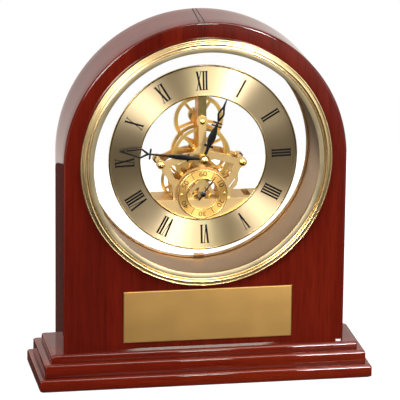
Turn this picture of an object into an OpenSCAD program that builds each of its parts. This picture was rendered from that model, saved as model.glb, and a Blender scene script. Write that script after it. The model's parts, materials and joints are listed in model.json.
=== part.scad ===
// Arched mantel clock with a see-through skeleton movement.
// Millimetres, +Z up, the dial faces -Y. The origin is on the floor under the middle of the base.
// A depth is measured backwards from the front face of the case. Outlines of the dial and the
// movement are drawn as seen from the front, around the dial's centre, and their angles run
// counter-clockwise from three o'clock.

/* [Case] */
// Width of the case, twice the radius of its arch
case_w = 168.7; // [165:0.1:230]
// Depth of the case, front face to back face
case_d = 38; // [37:0.5:60]
// Height of the straight sides, from the base to the foot of the arch
side_h = 113.7; // [100:0.1:160]
// Thickness of the front board
front_board_t = 10; // [6:0.5:12]
// Thickness of the back board
back_board_t = 8; // [7.5:0.5:10]
// Thickness of the bent band between the boards
band_t = 8; // [4:0.5:9]
// Rounding of the case's front and back edges
case_round = 1.2; // [0.5:0.1:3]

/* [Base] */
// How far the lowest board reaches past each side of the case
side_overhang = 15.65; // [10:0.05:30]
// How far the lowest board reaches past the front of the case
front_overhang = 12; // [9:0.5:25]
// How far the lowest board reaches past the back of the case
back_overhang = 11; // [9:0.5:25]
// Height of the lower board
lower_h = 7.4; // [6:0.1:15]
// Height of the middle board
middle_h = 8; // [5:0.1:15]
// Height of the upper board
upper_h = 4.5; // [3.5:0.1:10]
// How far the middle board stands in from the lower one
middle_inset = 3.3; // [1:0.1:4]
// How far the upper board stands in from the lower one
upper_inset = 7.7; // [5:0.1:8.5]
// Thickness of the felt under the base
felt_t = 0.6; // [0.4:0.1:3]
// How far the felt stands in from the lowest board's edge
felt_inset = 1.5; // [1:0.5:10]

/* [Engraving plate] */
// Width of the plate
plate_w = 101.6; // [60:0.1:130]
// Height of the plate
plate_h = 31.75; // [15:0.05:34]
// Thickness of the plate
name_plate_t = 0.8; // [0.5:0.1:2]
// Height of the plate's middle above the base
plate_up = 20.3; // [18:0.1:21]
// How far the plate's middle lies right of the clock's middle
plate_shift = 1.9; // [-5:0.1:5]

/* [Dial insert] */
// Outer radius of the bezel
bezel_r = 74.9; // [74:0.1:80]
// Radius of the opening in the bezel
lip_r = 67.07; // [66.5:0.01:67.3]
// Inner radius of the drum
drum_r = 67.6; // [67.5:0.1:68]
// Wall of the drum
drum_t = 0.8; // [0.5:0.1:1]
// Radius of the opening in the drum's rear lip
rear_lip_r = 66.24; // [63:0.01:67]
// How far the rear glass lies in from the back of the case
rear_recess = 6.2; // [5.5:0.1:7]
// Thickness of the front glass
front_glass_t = 2; // [1.5:0.1:2.5]
// Thickness of the rear glass
rear_glass_t = 2.5; // [2:0.1:4]

/* [Chapter ring] */
// Outer radius of the chapter ring
ring_r = 56.4; // [54:0.1:60]
// Radius of the ring's opening
ring_hole_r = 37.4; // [37:0.1:45]
// Depth of the ring's face
ring_depth = 10.7; // [10:0.1:11]
// Thickness of the ring
ring_t = 1.2; // [0.8:0.1:1.6]
// Height of the raised rims on the ring and on the seconds dial
rim_rise = 0.4; // [0.2:0.1:0.6]

/* [Seconds dial] */
// How far the seconds dial's centre lies below the hands' axis
seconds_drop = 22.2; // [22:0.1:22.4]
// Outer radius of the seconds dial
seconds_r = 14.9; // [12:0.1:15]
// Radius of the seconds dial's opening
seconds_hole_r = 9.3; // [8:0.1:10]

/* [Movement] */
// Thickness of the two movement plates
frame_plate_t = 1.2; // [0.8:0.1:1.4]
// Thickness of the large wheels
wheel_t = 0.8; // [0.6:0.1:1]
// Radius of the train arbors
arbor_r = 0.6; // [0.4:0.05:0.75]
// Radius of the minute arbor
minute_arbor_r = 0.9; // [0.7:0.05:1]
// Wall of the hour wheel's pipe
pipe_t = 0.6; // [0.4:0.1:0.8]
// Running clearance of every arbor in its hole
running_gap = 0.05; // [0.03:0.01:0.08]
// How far the pillars stand left and right of the hands' axis
pillar_x = 24.4; // [22:0.1:26]
// How far the pillars lie below the hands' axis
pillar_drop = 4.6; // [3:0.1:6]
// Radius of the pillars
pillar_r = 1.8; // [1.2:0.1:2.4]
// How far the battery box's flat top lies below the hands' axis
box_drop = 25.7; // [25.6:0.1:26]
// Radius of a battery of the AA size
battery_r = 7.1; // [7:0.05:7.2]
// Length of that battery, with its nub
battery_l = 50; // [49:0.1:50.5]

/* [Hands] */
// Length of the hour hand
hour_hand_l = 38.1; // [30:0.1:40]
// Length of the minute hand
minute_hand_l = 51.2; // [45:0.1:54]
// Length of the second hand
second_hand_l = 13; // [9:0.1:14]
// Angle of the hour hand, clockwise from twelve
hour_angle = 20.6; // [0:0.1:360]
// Angle of the minute hand, clockwise from twelve
minute_angle = 277.6; // [0:0.1:360]
// Angle of the second hand, clockwise from twelve
second_angle = 35.6; // [0:0.1:360]

/* [Hidden] */
$fn = 64;

wood = [0.42, 0.08, 0.05];
polished = [0.86, 0.68, 0.36];
satin = [0.72, 0.58, 0.36];
black = [0.06, 0.05, 0.05];
clear = [0.85, 0.92, 0.95, 0.3];
steel = [0.7, 0.7, 0.7];

// ---- Case and base ----
arch_r = case_w / 2;
base_w = case_w + 2 * side_overhang;
base_d = case_d + front_overhang + back_overhang;
base_h = felt_t + lower_h + middle_h + upper_h;
front_y = front_overhang - base_d / 2;
dial_z = base_h + side_h;
quirk = 0.3;                        // height of the small square step under each rounded edge
lower_round = 2.8;
middle_round = 2.2;
upper_round = 2.5;
block_w = 20;
block_h = 22;
screw_r = 2;
screw_head_r = 4;
screw_head_h = 2.4;
block_x = arch_r - band_t - block_w / 2;
block_y = front_y + (front_board_t + case_d - back_board_t) / 2;
screw_spread = 5.5;
screw_l = base_h - felt_t + block_h - 5;

// ---- Dial insert, as depths ----
seat_gap = 0.4;                     // room between the drum and the wood
bore_r = drum_r + drum_t + seat_gap;
flange_r = drum_r + 4;
flange_t = 0.8;
lip_front = -3.5;
glass_front = lip_front + 1.1;
glass_back = glass_front + front_glass_t;
front_glass_r = lip_r + 1.93;
glass_gap = 0.2;
rear_glass_front = case_d - rear_recess;
rear_glass_back = rear_glass_front + rear_glass_t;
rear_lip_t = 0.8;
rear_glass_r = bore_r + 1.2;
rear_ring_t = 1.2;
rear_ring_r = rear_glass_r + 4.8;
ring_screw_r = 1;
ring_screw_pitch_r = rear_glass_r + 2.6;

// ---- Movement, as depths ----
ring_back = ring_depth + ring_t;
rim_w = 0.9;
front_plate_front = ring_back + 2.1;
front_plate_back = front_plate_front + frame_plate_t;
rear_plate_back = rear_glass_front - 1;
rear_plate_front = rear_plate_back - frame_plate_t;
minute_plane = rear_plate_front - 0.4 - wheel_t;
setting_plane = minute_plane - 0.4 - wheel_t;
bracket_back = setting_plane - 0.4;
centre_plane = bracket_back - 0.6 - wheel_t;
hour_plane = front_plate_back + 0.8;
seconds_plane = hour_plane + wheel_t + 0.8;
third_plane = seconds_plane + wheel_t + 0.8;
motor_plane = third_plane + wheel_t + 1.2;
bridge_front = motor_plane + wheel_t + 0.8;
bridge_t = 0.8;
box_back = rear_glass_front - 0.3;
foot_r = ring_hole_r + 0.7;         // inner edge of the bracket's foot, hidden by the chapter ring

// ---- Teeth: numbers of teeth, and the arbors' places from the hands' axis ----
setting_teeth = 84;
setting_pinion_teeth = 24;
setting_up = 19.1;
minute_teeth = 88;
cannon_teeth = 44;
hour_teeth = 108;
minute_pinion_teeth = 18;
minute_centres = 20;
minute_pos = minute_centres * [cos(243.6), sin(243.6)];
seconds_pos = [0, -seconds_drop];
centre_teeth = 96;
third_pinion_teeth = 8;
third_teeth = 60;
seconds_pinion_teeth = 12;
centre_third = 18.42;
seconds_third = 10.8;
// The third arbor lies where its distances from the hands' axis and the seconds arbor meet.
third_drop = (centre_third * centre_third - seconds_third * seconds_third
    + seconds_drop * seconds_drop) / (2 * seconds_drop);
third_pos = [sqrt(centre_third * centre_third - third_drop * third_drop), -third_drop];
seconds_teeth = 48;
intermediate_pinion_teeth = 8;
seconds_intermediate = 7.56;
intermediate_pos = seconds_pos + seconds_intermediate * [cos(200), sin(200)];
intermediate_teeth = 40;
rotor_teeth = 8;
intermediate_rotor = 6;
rotor_pos = intermediate_pos + intermediate_rotor * [cos(217), sin(217)];
centre_pos = [0, 0];
setting_pos = [0, setting_up];
top_boss_up = 21;

// ---- Battery box ----
box_r = ring_r - 2.4;
box_wall = 1.3;
box_top_t = 1.2;
chamber_h = 3.5;
chamber_w = 38;
bay_gap = 0.3;                      // room around the battery
bay_top = -box_drop - box_top_t - chamber_h - 0.8;
bay_w = battery_l + 3.2;
battery_z = bay_top - bay_gap - battery_r;
battery_depth = ring_back + box_wall + 1.5 + battery_r + bay_gap;
cover_t = 1.2;
cover_lap = 1.2;
cover_gap = 0.3;
contact_t = 0.4;

// ---- Hands, as depths ----
cap_front = 3;
minute_hand_front = 7;
hand_t = 0.4;
hour_hand_front = 8.5;
second_hand_front = 9.5;
second_hub_r = 1.7;
second_arbor_r = 0.5;
cap_r = 3.3;
pipe_in_r = minute_arbor_r + running_gap;
pipe_r = pipe_in_r + pipe_t;

// ================= Helpers =================

// Stands a solid of revolution on the dial's axis: the profile's x is a radius, its y a depth.
module turned() {
    translate([0, front_y, dial_z]) rotate([-90, 0, 0]) rotate_extrude($fn = 160) children();
}

// Stands a front-view outline in the clock, between two depths.
module sheet(d0, d1) {
    translate([0, front_y + d1, dial_z]) rotate([90, 0, 0]) linear_extrude(d1 - d0) children();
}

// A round bar along the depth, at a place given from the hands' axis.
module rod(pos, r, d0, d1) {
    translate([pos[0], front_y + d0, dial_z + pos[1]]) rotate([-90, 0, 0]) cylinder(r = r, h = d1 - d0);
}

// A flat bar between two points, with round ends.
module bar(p, q, w) {
    run = q - p;
    translate(p) rotate(atan2(run[1], run[0])) translate([0, -w / 2]) square([norm(run), w]);
    translate(p) circle(w / 2);
    translate(q) circle(w / 2);
}

// A rectangle standing on the x axis whose two upper corners are rounded.
module soft_top(w, h, r) {
    translate([-w / 2, 0]) square([w, h - r]);
    translate([r - w / 2, 0]) square([w - 2 * r, h]);
    intersection() {
        for (side = [-1, 1]) translate([side * (w / 2 - r), h - r]) circle(r);
        translate([-w / 2, 0]) square([w, h]);
    }
}

// A board with its upper edges rounded on all four sides, mitred at the corners.
module board(w, d, h, r) {
    intersection() {
        translate([0, d, 0]) rotate([90, 0, 0]) linear_extrude(2 * d) soft_top(w, h, r);
        translate([-w, 0, 0]) rotate([90, 0, 90]) linear_extrude(2 * w) soft_top(d, h, r);
    }
}

// The arched slab of the case between two depths, with a rounded front edge, or a rounded back edge.
module arch_slab(d0, d1, rounded_front, wall = 0) {
    thick = d1 - d0;
    module section(w) {
        if (rounded_front) mirror([0, 1]) translate([0, -thick]) soft_top(w, thick, case_round);
        else soft_top(w, thick, case_round);
    }
    translate([0, front_y + d0, 0]) {
        translate([0, 0, base_h]) linear_extrude(side_h) section(case_w);
        intersection() {
            translate([0, 0, dial_z]) rotate([-90, 0, 0]) rotate_extrude($fn = 160) intersection() {
                section(case_w);
                translate([0, -1]) square([case_w, thick + 2]);
            }
            translate([-case_w, -1, dial_z]) cube([2 * case_w, thick + 2, case_w]);
        }
    }
}

// Outline of a toothed wheel. One tooth is centred on the angle phase.
module teeth(n, m, phase, add = 0.8, ded = 1.05) {
    pitch_r = n * m / 2;
    step = 360 / n;
    root = pitch_r - ded * m;
    tip = pitch_r + add * m;
    polygon([for (i = [0 : n - 1], c = [[root, -0.31], [tip, -0.12], [tip, 0.12], [root, 0.31]])
        let (a = phase + (i + c[1]) * step) c[0] * [cos(a), sin(a)]]);
}

// A spoked wheel: its teeth, a rim inside them, spokes and a hub.
module spoked(n, m, phase, rim, hub, spokes, spoke_w, turn) {
    inside = n * m / 2 - 1.05 * m - rim;
    difference() {
        teeth(n, m, phase);
        difference() {
            circle(inside);
            circle(hub);
            for (i = [0 : spokes - 1]) rotate(turn + i * 360 / spokes)
                translate([0, -spoke_w / 2]) square([inside + 1, spoke_w]);
        }
    }
}

// Angle of a tooth on the second wheel of a pair that puts it in mesh with the first.
function mesh(from, to, n1, phase1, n2) =
    let (line = atan2(to[1] - from[1], to[0] - from[0]))
    line + 180 - (0.5 - (line - phase1) * n1 / 360) * 360 / n2;

function module_of(centres, n1, n2) = 2 * centres / (n1 + n2);

setting_m = module_of(setting_up, setting_teeth, setting_pinion_teeth);
minute_m = module_of(minute_centres, minute_teeth, cannon_teeth);
hour_m = module_of(minute_centres, hour_teeth, minute_pinion_teeth);
centre_m = module_of(centre_third, centre_teeth, third_pinion_teeth);
third_m = module_of(seconds_third, third_teeth, seconds_pinion_teeth);
seconds_m = module_of(seconds_intermediate, seconds_teeth, intermediate_pinion_teeth);
rotor_m = module_of(intermediate_rotor, intermediate_teeth, rotor_teeth);

setting_phase = mesh(centre_pos, setting_pos, setting_pinion_teeth, 0, setting_teeth);
minute_phase = mesh(centre_pos, minute_pos, cannon_teeth, 0, minute_teeth);
hour_phase = mesh(minute_pos, centre_pos, minute_pinion_teeth, 0, hour_teeth);
third_phase = mesh(seconds_pos, third_pos, seconds_pinion_teeth, 0, third_teeth);
centre_phase = mesh(third_pos, centre_pos, third_pinion_teeth, 0, centre_teeth);
intermediate_phase = mesh(seconds_pos, intermediate_pos, seconds_teeth, 0, intermediate_pinion_teeth);
rotor_phase = mesh(intermediate_pos, rotor_pos, intermediate_teeth, 0, rotor_teeth);

// ================= Base =================

module felt_sheet() {
    color([0.1, 0.2, 0.12]) difference() {
        translate([felt_inset - base_w / 2, felt_inset - base_d / 2, 0])
            cube([base_w - 2 * felt_inset, base_d - 2 * felt_inset, felt_t]);
        base_screw_holes(screw_head_r + 1);
    }
}

module base_screw_holes(r) {
    for (x = [-block_x, block_x], y = [block_y - screw_spread, block_y + screw_spread])
        translate([x, y, -1]) cylinder(r = r, h = base_h + block_h);
}

module base_screw_heads() {
    for (x = [-block_x, block_x], y = [block_y - screw_spread, block_y + screw_spread])
        translate([x, y, 0]) cylinder(r = screw_head_r + 0.3, h = felt_t + screw_head_h);
}

module base_lower() {
    color(wood) difference() {
        translate([0, 0, felt_t]) board(base_w, base_d, lower_h, lower_round);
        base_screw_holes(screw_r);
        base_screw_heads();
    }
}

module base_middle() {
    w = base_w - 2 * middle_inset;
    d = base_d - 2 * middle_inset;
    color(wood) difference() {
        translate([0, 0, felt_t + lower_h]) board(w, d, middle_h, middle_round);
        base_screw_holes(screw_r);
    }
}

module base_upper() {
    w = base_w - 2 * upper_inset;
    d = base_d - 2 * upper_inset;
    foot = 0.9;
    color(wood) difference() {
        translate([0, 0, felt_t + lower_h + middle_h]) {
            translate([0, 0, foot]) board(w, d, upper_h - foot, upper_round);
            translate([quirk - w / 2, quirk - d / 2, 0]) cube([w - 2 * quirk, d - 2 * quirk, foot]);
        }
        base_screw_holes(screw_r);
    }
}

module base_screws() {
    color(steel)
    for (x = [-block_x, block_x], y = [block_y - screw_spread, block_y + screw_spread])
        translate([x, y, felt_t]) difference() {
            union() {
                cylinder(r = screw_head_r, h = screw_head_h);
                cylinder(r = screw_r, h = screw_l);
            }
            translate([-0.5, -screw_head_r, -1]) cube([1, 2 * screw_head_r, 1.8]);
        }
}

// ================= Case =================

module corner_blocks() {
    color([0.75, 0.6, 0.42]) difference() {
        for (side = [-1, 1])
            translate([side * block_x - block_w / 2, front_y + front_board_t, base_h])
                cube([block_w, case_d - front_board_t - back_board_t, block_h]);
        base_screw_holes(screw_r);
    }
}

module case_front() {
    color(wood) difference() {
        arch_slab(0, front_board_t, true);
        rod(centre_pos, bore_r, -1, front_board_t + 1, $fn = 160);
        rod(centre_pos, flange_r + 0.3, -1, flange_t + 0.1, $fn = 160);
    }
}

module case_band() {
    length = case_d - front_board_t - back_board_t;
    inner_r = arch_r - band_t;
    color(wood) translate([0, front_y + front_board_t + length, 0]) rotate([90, 0, 0])
        linear_extrude(length) difference() {
            union() {
                translate([0, dial_z]) circle(arch_r, $fn = 160);
                translate([-arch_r, base_h]) square([case_w, side_h]);
            }
            translate([0, dial_z]) circle(inner_r, $fn = 160);
            translate([-inner_r, base_h - 1]) square([2 * inner_r, side_h + 1]);
        }
}

module case_back() {
    color(wood) difference() {
        arch_slab(case_d - back_board_t, case_d, false);
        rod(centre_pos, bore_r, case_d - back_board_t - 1, case_d + 1, $fn = 160);
        rod(centre_pos, rear_glass_r + seat_gap, rear_glass_front, case_d + 1, $fn = 160);
        rear_ring_screw_places() rod(centre_pos, ring_screw_r, case_d - 6, case_d + 1);
    }
}

module name_plate() {
    bevel = 0.5;
    module section(w) {
        polygon([[-w / 2, 0], [w / 2, 0], [w / 2, name_plate_t - bevel], [w / 2 - bevel, name_plate_t],
            [bevel - w / 2, name_plate_t], [-w / 2, name_plate_t - bevel]]);
    }
    color(satin) translate([plate_shift, front_y, base_h + plate_up]) rotate([90, 0, 0]) intersection() {
        translate([0, plate_h, 0]) rotate([90, 0, 0]) linear_extrude(2 * plate_h) section(plate_w);
        translate([-plate_w, 0, 0]) rotate([90, 0, 90]) linear_extrude(2 * plate_w) section(plate_h);
    }
}

// ================= Dial insert =================

module bezel() {
    bevel_r = lip_r + 2.53;
    bead_at = bezel_r - 2.75;
    bead_r = 0.85;
    rim_at = bezel_r - 0.5;
    rim_r = 0.5;
    function arc(x, r) = [for (a = [0 : 18 : 180]) [x + r * cos(a), -r * sin(a)]];
    color(polished) turned() polygon(concat([[bezel_r, 0]],
        [for (c = arc(rim_at, rim_r)) [c[0], c[1] - 2.9]], [[rim_at - rim_r, -2.4]],
        [for (c = arc(bead_at, bead_r)) [c[0], c[1] - 3.5]],
        [[bead_at - bead_r, -3], [bevel_r, -3], [bevel_r, lip_front - 0.4], [lip_r, lip_front],
            [lip_r, glass_front], [front_glass_r + glass_gap, glass_front],
            [front_glass_r + glass_gap, 0]]));
}

module front_glass() {
    color(clear) rod(centre_pos, front_glass_r, glass_front, glass_back, $fn = 160);
}

module glass_gasket() {
    color(black) turned() translate([drum_r + 0.1, glass_back])
        square([front_glass_r - drum_r - 0.1, -glass_back]);
}

module drum() {
    tab_w = 6.6;
    tab_h = 1.3;
    color(satin) {
        turned() {
            translate([drum_r, 0]) square([drum_t, rear_glass_front]);
            translate([drum_r, 0]) square([flange_r - drum_r, flange_t]);
            translate([rear_lip_r, rear_glass_front - rear_lip_t])
                square([drum_r + drum_t - rear_lip_r, rear_lip_t]);
        }
        sheet(rear_glass_front - rear_lip_t, rear_glass_front) intersection() {
            translate([1.65 - tab_w / 2, -rear_lip_r - 0.5]) square([tab_w, tab_h + 0.5]);
            circle(drum_r, $fn = 160);
        }
    }
}

module rear_glass() {
    color(clear) difference() {
        rod(centre_pos, rear_glass_r, rear_glass_front, rear_glass_back, $fn = 160);
        rod(setting_pos, 1.8, rear_glass_front - 1, rear_glass_back + 1);
        sheet(rear_glass_front - 1, rear_glass_back + 1) cover_outline(cover_gap);
        movement_screw_places() rod(centre_pos, 1.2, rear_glass_front - 1, rear_glass_back + 1);
    }
}

module rear_ring_screw_places() {
    for (a = [45 : 90 : 315])
        translate([ring_screw_pitch_r * cos(a), 0, ring_screw_pitch_r * sin(a)]) children();
}

module rear_ring() {
    // the drum's rear lip hides it from the front
    bore_r = rear_glass_r - 1.6;
    color(polished) difference() {
        turned() {
            translate([bore_r, case_d]) square([rear_ring_r - bore_r, rear_ring_t]);
            translate([bore_r, rear_glass_back])
                square([1.8, case_d - rear_glass_back + 0.1]);
        }
        rear_ring_screw_places() rod(centre_pos, ring_screw_r, case_d - 1, case_d + 2);
    }
}

module rear_ring_screws() {
    color(polished) rear_ring_screw_places() difference() {
        union() {
            rod(centre_pos, ring_screw_r, case_d - 6, case_d + rear_ring_t + 0.3);
            rod(centre_pos, 1.9, case_d + rear_ring_t, case_d + rear_ring_t + 0.8);
        }
        sheet(case_d + rear_ring_t + 0.4, case_d + rear_ring_t + 2) square([6, 0.5], center = true);
    }
}

module chapter_ring() {
    color(satin) turned() {
        translate([ring_hole_r, ring_depth]) square([ring_r - ring_hole_r, ring_t]);
        translate([ring_hole_r, ring_depth - rim_rise]) square([rim_w, rim_rise]);
        translate([ring_r - rim_w, ring_depth - rim_rise]) square([rim_w, rim_rise]);
    }
}

// ================= Movement frame =================

bracket_w = 4.9;
bracket_bottom = 17.7;
foot_w = 16;
foot_h = 9;

module top_bracket() {
    color(satin) difference() {
        union() {
            sheet(front_plate_back, bracket_back)
                translate([-bracket_w / 2, bracket_bottom]) square([bracket_w, foot_r + 2 - bracket_bottom]);
            sheet(ring_back, rear_glass_front) translate([-foot_w / 2, foot_r + 1]) square([foot_w, foot_h]);
        }
        rod([0, top_boss_up], boss_screw_r, front_plate_back - 1, front_plate_back + 4);
        rod(setting_pos, arbor_r + running_gap, bracket_back - 3, bracket_back + 1);
        movement_screw_places() rod(centre_pos, 1.2, rear_glass_front - 6, rear_glass_front + 1);
    }
}

boss_r = 3.4;
pillar_boss_r = 2.7;
boss_screw_r = 0.8;

// One side of the movement plates: an arm, a place for its pillar and a leg down to the battery box.
function frame_side(leg) = concat([[2, -3], [7.7, -2.1], [9.8, -2.8], [14.7, -4.3], [17.7, -5.1],
    [19.2, -6.2], [18.3, -8.1], [16.9, -11.9], [16.1, -13.2], [14.6, -13.8], [12, -16.5],
    [12, -box_drop], [17, -box_drop]], leg,
    [[pillar_x - 0.4, -pillar_drop - 2.9], [pillar_x, -pillar_drop], [pillar_x - 1.4, -2.6],
    [19.5, -1.5], [17.8, -0.8], [14, 0.9], [7.7, 2.2], [2, 3]]);
function mirrored(p) = [for (i = [len(p) - 1 : -1 : 0]) [-p[i][0], p[i][1]]];

// The outline that both movement plates share: straps, arms, legs and a ring behind the seconds dial.
module frame_outline() {
    seat_r = seconds_r + 0.7;
    right_leg = [[18.1, -21.3], [19.4, -20.2], [21, -18.6], [21.9, -15.4], [21.8, -11], [23, -8.3]];
    left_leg = [[17.5, -20.7], [17.8, -17.8], [19.2, -15.7], [21.7, -11.4], [24, -8.8]];
    difference() {
        union() {
            circle(6);
            translate([-2.3, 0]) square([4.6, top_boss_up]);
            translate([0, top_boss_up]) circle(boss_r);
            translate([-1.8, -seconds_drop]) square([3.6, seconds_drop]);
            translate(seconds_pos) circle(2.6);
            polygon([[-8.2, -21.6], [-7, -23], [0, -17], [7, -24], [8.6, -22.9], [1.5, -14.4], [-1.5, -14.4]]);
            intersection() {
                translate(seconds_pos) difference() {
                    circle(seat_r);
                    circle(seconds_hole_r + 1.2);
                }
                translate([-50, -box_drop]) square([100, 80]);
            }
            polygon(frame_side(right_leg));
            polygon(mirrored(frame_side(left_leg)));
            for (side = [-1, 1]) translate([side * pillar_x, -pillar_drop]) circle(pillar_boss_r);
            translate(third_pos) circle(2);
            translate(minute_pos) circle(2);
            translate([-13, -box_drop]) square([8, 2.4]);
        }
        translate(seconds_pos + [seat_r - 2.8, 0]) circle(0.5);
        translate(seconds_pos - [seat_r - 2.8, 0]) circle(0.5);
        translate(third_pos) circle(arbor_r + running_gap);
        translate(minute_pos) circle(arbor_r + running_gap);
        for (side = [-1, 1]) translate([side * pillar_x, -pillar_drop]) circle(boss_screw_r);
        polygon([[20.4, -14.8], [16.8, -20.1], [16.1, -19.6], [19.6, -14.5]]);
    }
}

module front_plate() {
    color(satin) difference() {
        sheet(front_plate_front, front_plate_back) frame_outline();
        rod(centre_pos, pipe_r + running_gap, front_plate_front - 1, front_plate_back + 1);
        rod([0, top_boss_up], boss_screw_r, front_plate_front - 1, front_plate_back + 1);
        rod(seconds_pos, second_arbor_r + running_gap, front_plate_front - 1, front_plate_back + 1);
        rod(intermediate_pos, arbor_r + running_gap, front_plate_front - 1, front_plate_back + 1);
    }
}

module rear_plate() {
    color(satin) difference() {
        sheet(rear_plate_front, rear_plate_back) frame_outline();
        rod(centre_pos, minute_arbor_r + running_gap, rear_plate_front - 1, rear_plate_back + 1);
        rod(setting_pos, arbor_r + running_gap, rear_plate_front - 1, rear_plate_back + 1);
    }
}

module pillars() {
    color(polished) for (side = [-1, 1]) {
        pos = [side * pillar_x, -pillar_drop];
        difference() {
            union() {
                rod(pos, pillar_r, front_plate_back, rear_plate_front);
                rod(pos, pillar_boss_r, front_plate_back, front_plate_back + 1.6);
                rod(pos, pillar_boss_r, rear_plate_front - 2.4, rear_plate_front);
            }
            rod(pos, boss_screw_r, front_plate_back - 1, rear_plate_front + 1);
        }
    }
}

// A round-headed screw with a slot, its head on the front or on the back of what it holds.
module slotted_screw(pos, head_r, r, face, end, slot_angle) {
    front = end > face;
    head_h = 0.8;
    difference() {
        union() {
            rod(pos, r, min(face, end), max(face, end));
            rod(pos, head_r, front ? face - head_h : face, front ? face : face + head_h);
        }
        sheet(front ? face - 2 : face + 0.4, front ? face - 0.4 : face + 2)
            translate(pos) rotate(slot_angle) square([3 * head_r, 0.45], center = true);
    }
}

module pillar_screws() {
    color(polished) {
        for (side = [-1, 1]) {
            pos = [side * pillar_x, -pillar_drop];
            slotted_screw(pos, 2.2, boss_screw_r, front_plate_front, front_plate_back + 4, side * 40);
            slotted_screw(pos, 1.7, boss_screw_r, rear_plate_back, rear_plate_front - 4, 20);
        }
        slotted_screw([0, top_boss_up], 1.7, boss_screw_r, front_plate_front, front_plate_back + 4, 15);
    }
}

// ================= Battery and motor =================

module battery_box() {
    slot_gap = 0.4;
    color(satin) difference() {
        sheet(ring_back, box_back) intersection() {
            circle(box_r, $fn = 160);
            translate([-box_r, -2 * box_r - box_drop]) square([2 * box_r, 2 * box_r]);
        }
        // the battery's bay, open at the back
        sheet(battery_depth - battery_r - bay_gap, box_back + 1)
            translate([-bay_w / 2, battery_z - battery_r - bay_gap])
                square([bay_w, 2 * (battery_r + bay_gap)]);
        // the chamber of the circuit board, the coil and the rotor
        sheet(ring_back + box_wall, box_back - box_wall)
            translate([-chamber_w / 2, -box_drop - box_top_t - chamber_h]) square([chamber_w, chamber_h]);
        // slots for the wheels that dip into the box
        sheet(seconds_plane - 0.3 - slot_gap, seconds_plane + wheel_t + 0.3 + slot_gap) {
            translate(seconds_pos) circle(seconds_teeth * seconds_m / 2 + 0.8);
            translate(intermediate_pos) circle(intermediate_pinion_teeth * seconds_m / 2 + 1);
        }
        sheet(motor_plane - slot_gap, motor_plane + wheel_t + slot_gap) translate(intermediate_pos)
            circle(intermediate_teeth * rotor_m / 2 + 1);
        sheet(minute_plane - slot_gap, minute_plane + wheel_t + slot_gap) translate(minute_pos)
            circle(minute_teeth * minute_m / 2 + 1);
        // a window over the coil, and a pocket for the battery leads
        sheet(ring_back + 3.5, ring_back + 9) translate([-17, -box_drop - 2]) square([2.8, 4]);
        sheet(ring_back + 5.6, box_back - box_wall) translate([26.2, -box_drop - 4]) square([4, 6]);
        movement_screw_places() rod(centre_pos, 1.2, box_back - 6, box_back + 1);
    }
}

module battery() {
    nub_r = 2.7;
    nub_l = 1.2;
    color([0.25, 0.45, 0.3]) translate([0, front_y + battery_depth, dial_z + battery_z])
        rotate([0, 90, 0]) {
            translate([0, 0, -battery_l / 2]) cylinder(r = battery_r, h = battery_l - nub_l);
            translate([0, 0, battery_l / 2 - nub_l]) cylinder(r = nub_r, h = nub_l);
        }
}

module battery_contacts() {
    reach = (bay_w - battery_l) / 2;
    color(steel) for (side = [-1, 1])
        translate([side * bay_w / 2, front_y + battery_depth, dial_z + battery_z])
            rotate([0, -side * 90, 0]) {
                cylinder(r = 5, h = contact_t);
                cylinder(r = 2, h = reach);
            }
}

module cover_outline(grow) {
    w = bay_w + 2 * (cover_lap + grow);
    h = 2 * (battery_r + bay_gap + cover_lap + grow);
    translate([-w / 2, battery_z - h / 2]) square([w, h]);
}

module battery_cover() {
    color(satin) {
        sheet(box_back, box_back + cover_t) cover_outline(0);
        for (i = [-2 : 2]) sheet(box_back + cover_t, box_back + cover_t + 0.8)
            translate([i * 2.4 - 0.5, battery_z - 3]) square([1, 6]);
    }
}

module movement_screw_places() {
    for (side = [-1, 1]) {
        translate([side * 5.5, 0, foot_r + 1 + foot_h / 2]) children();
        translate([side * 36, 0, -box_drop - 5.5]) children();
    }
}

module movement_screws() {
    color(steel) movement_screw_places() slotted_screw(centre_pos, 2.4, 1.2, rear_glass_back,
        rear_glass_front - 6, 30);
}

chamber_floor = -box_drop - box_top_t - chamber_h;

module circuit_board() {
    color([0.1, 0.35, 0.2]) {
        sheet(ring_back + box_wall + 0.3, motor_plane - 2) translate([-15, chamber_floor]) square([30, 0.7]);
        sheet(ring_back + box_wall + 1.2, ring_back + box_wall + 4) translate([-4, chamber_floor + 0.7])
            square([5, 1]);
    }
}

module coil() {
    coil_l = 8.8;
    coil_r = 1.2;
    // it stands beside the seconds wheel's lowest teeth
    color([0.75, 0.4, 0.2]) translate([5.5, front_y + motor_plane - 4.4, dial_z + chamber_floor + 0.7 + coil_r])
        rotate([0, 90, 0]) {
            cylinder(r = coil_r, h = coil_l);
            translate([0, 0, -0.8]) cylinder(r = 0.6, h = coil_l + 1.6);
        }
}

rotor_r = 1.25;
rotor_arbor_r = 0.3;
magnet_front = motor_plane + wheel_t + 1;
magnet_back = magnet_front + 2;

module stator() {
    half = 2.2;
    top = rotor_pos[1] + 1.45;
    module upright(d0, d1) {
        sheet(d0, d1) translate([rotor_pos[0] - half, chamber_floor]) square([2 * half, top - chamber_floor]);
    }
    color(steel) difference() {
        union() {
            upright(motor_plane - 1.4, motor_plane - 0.8);
            upright(magnet_front - 0.3, magnet_back + 0.7);
            sheet(motor_plane - 1.4, magnet_back + 0.7)
                translate([rotor_pos[0] - half, chamber_floor]) square([2 * half, 0.3]);
        }
        rod(rotor_pos, rotor_r + 0.1, magnet_front - 1, magnet_back + 0.1);
        rod(rotor_pos, rotor_arbor_r + running_gap, motor_plane - 3, magnet_back + 2);
    }
}

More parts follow.
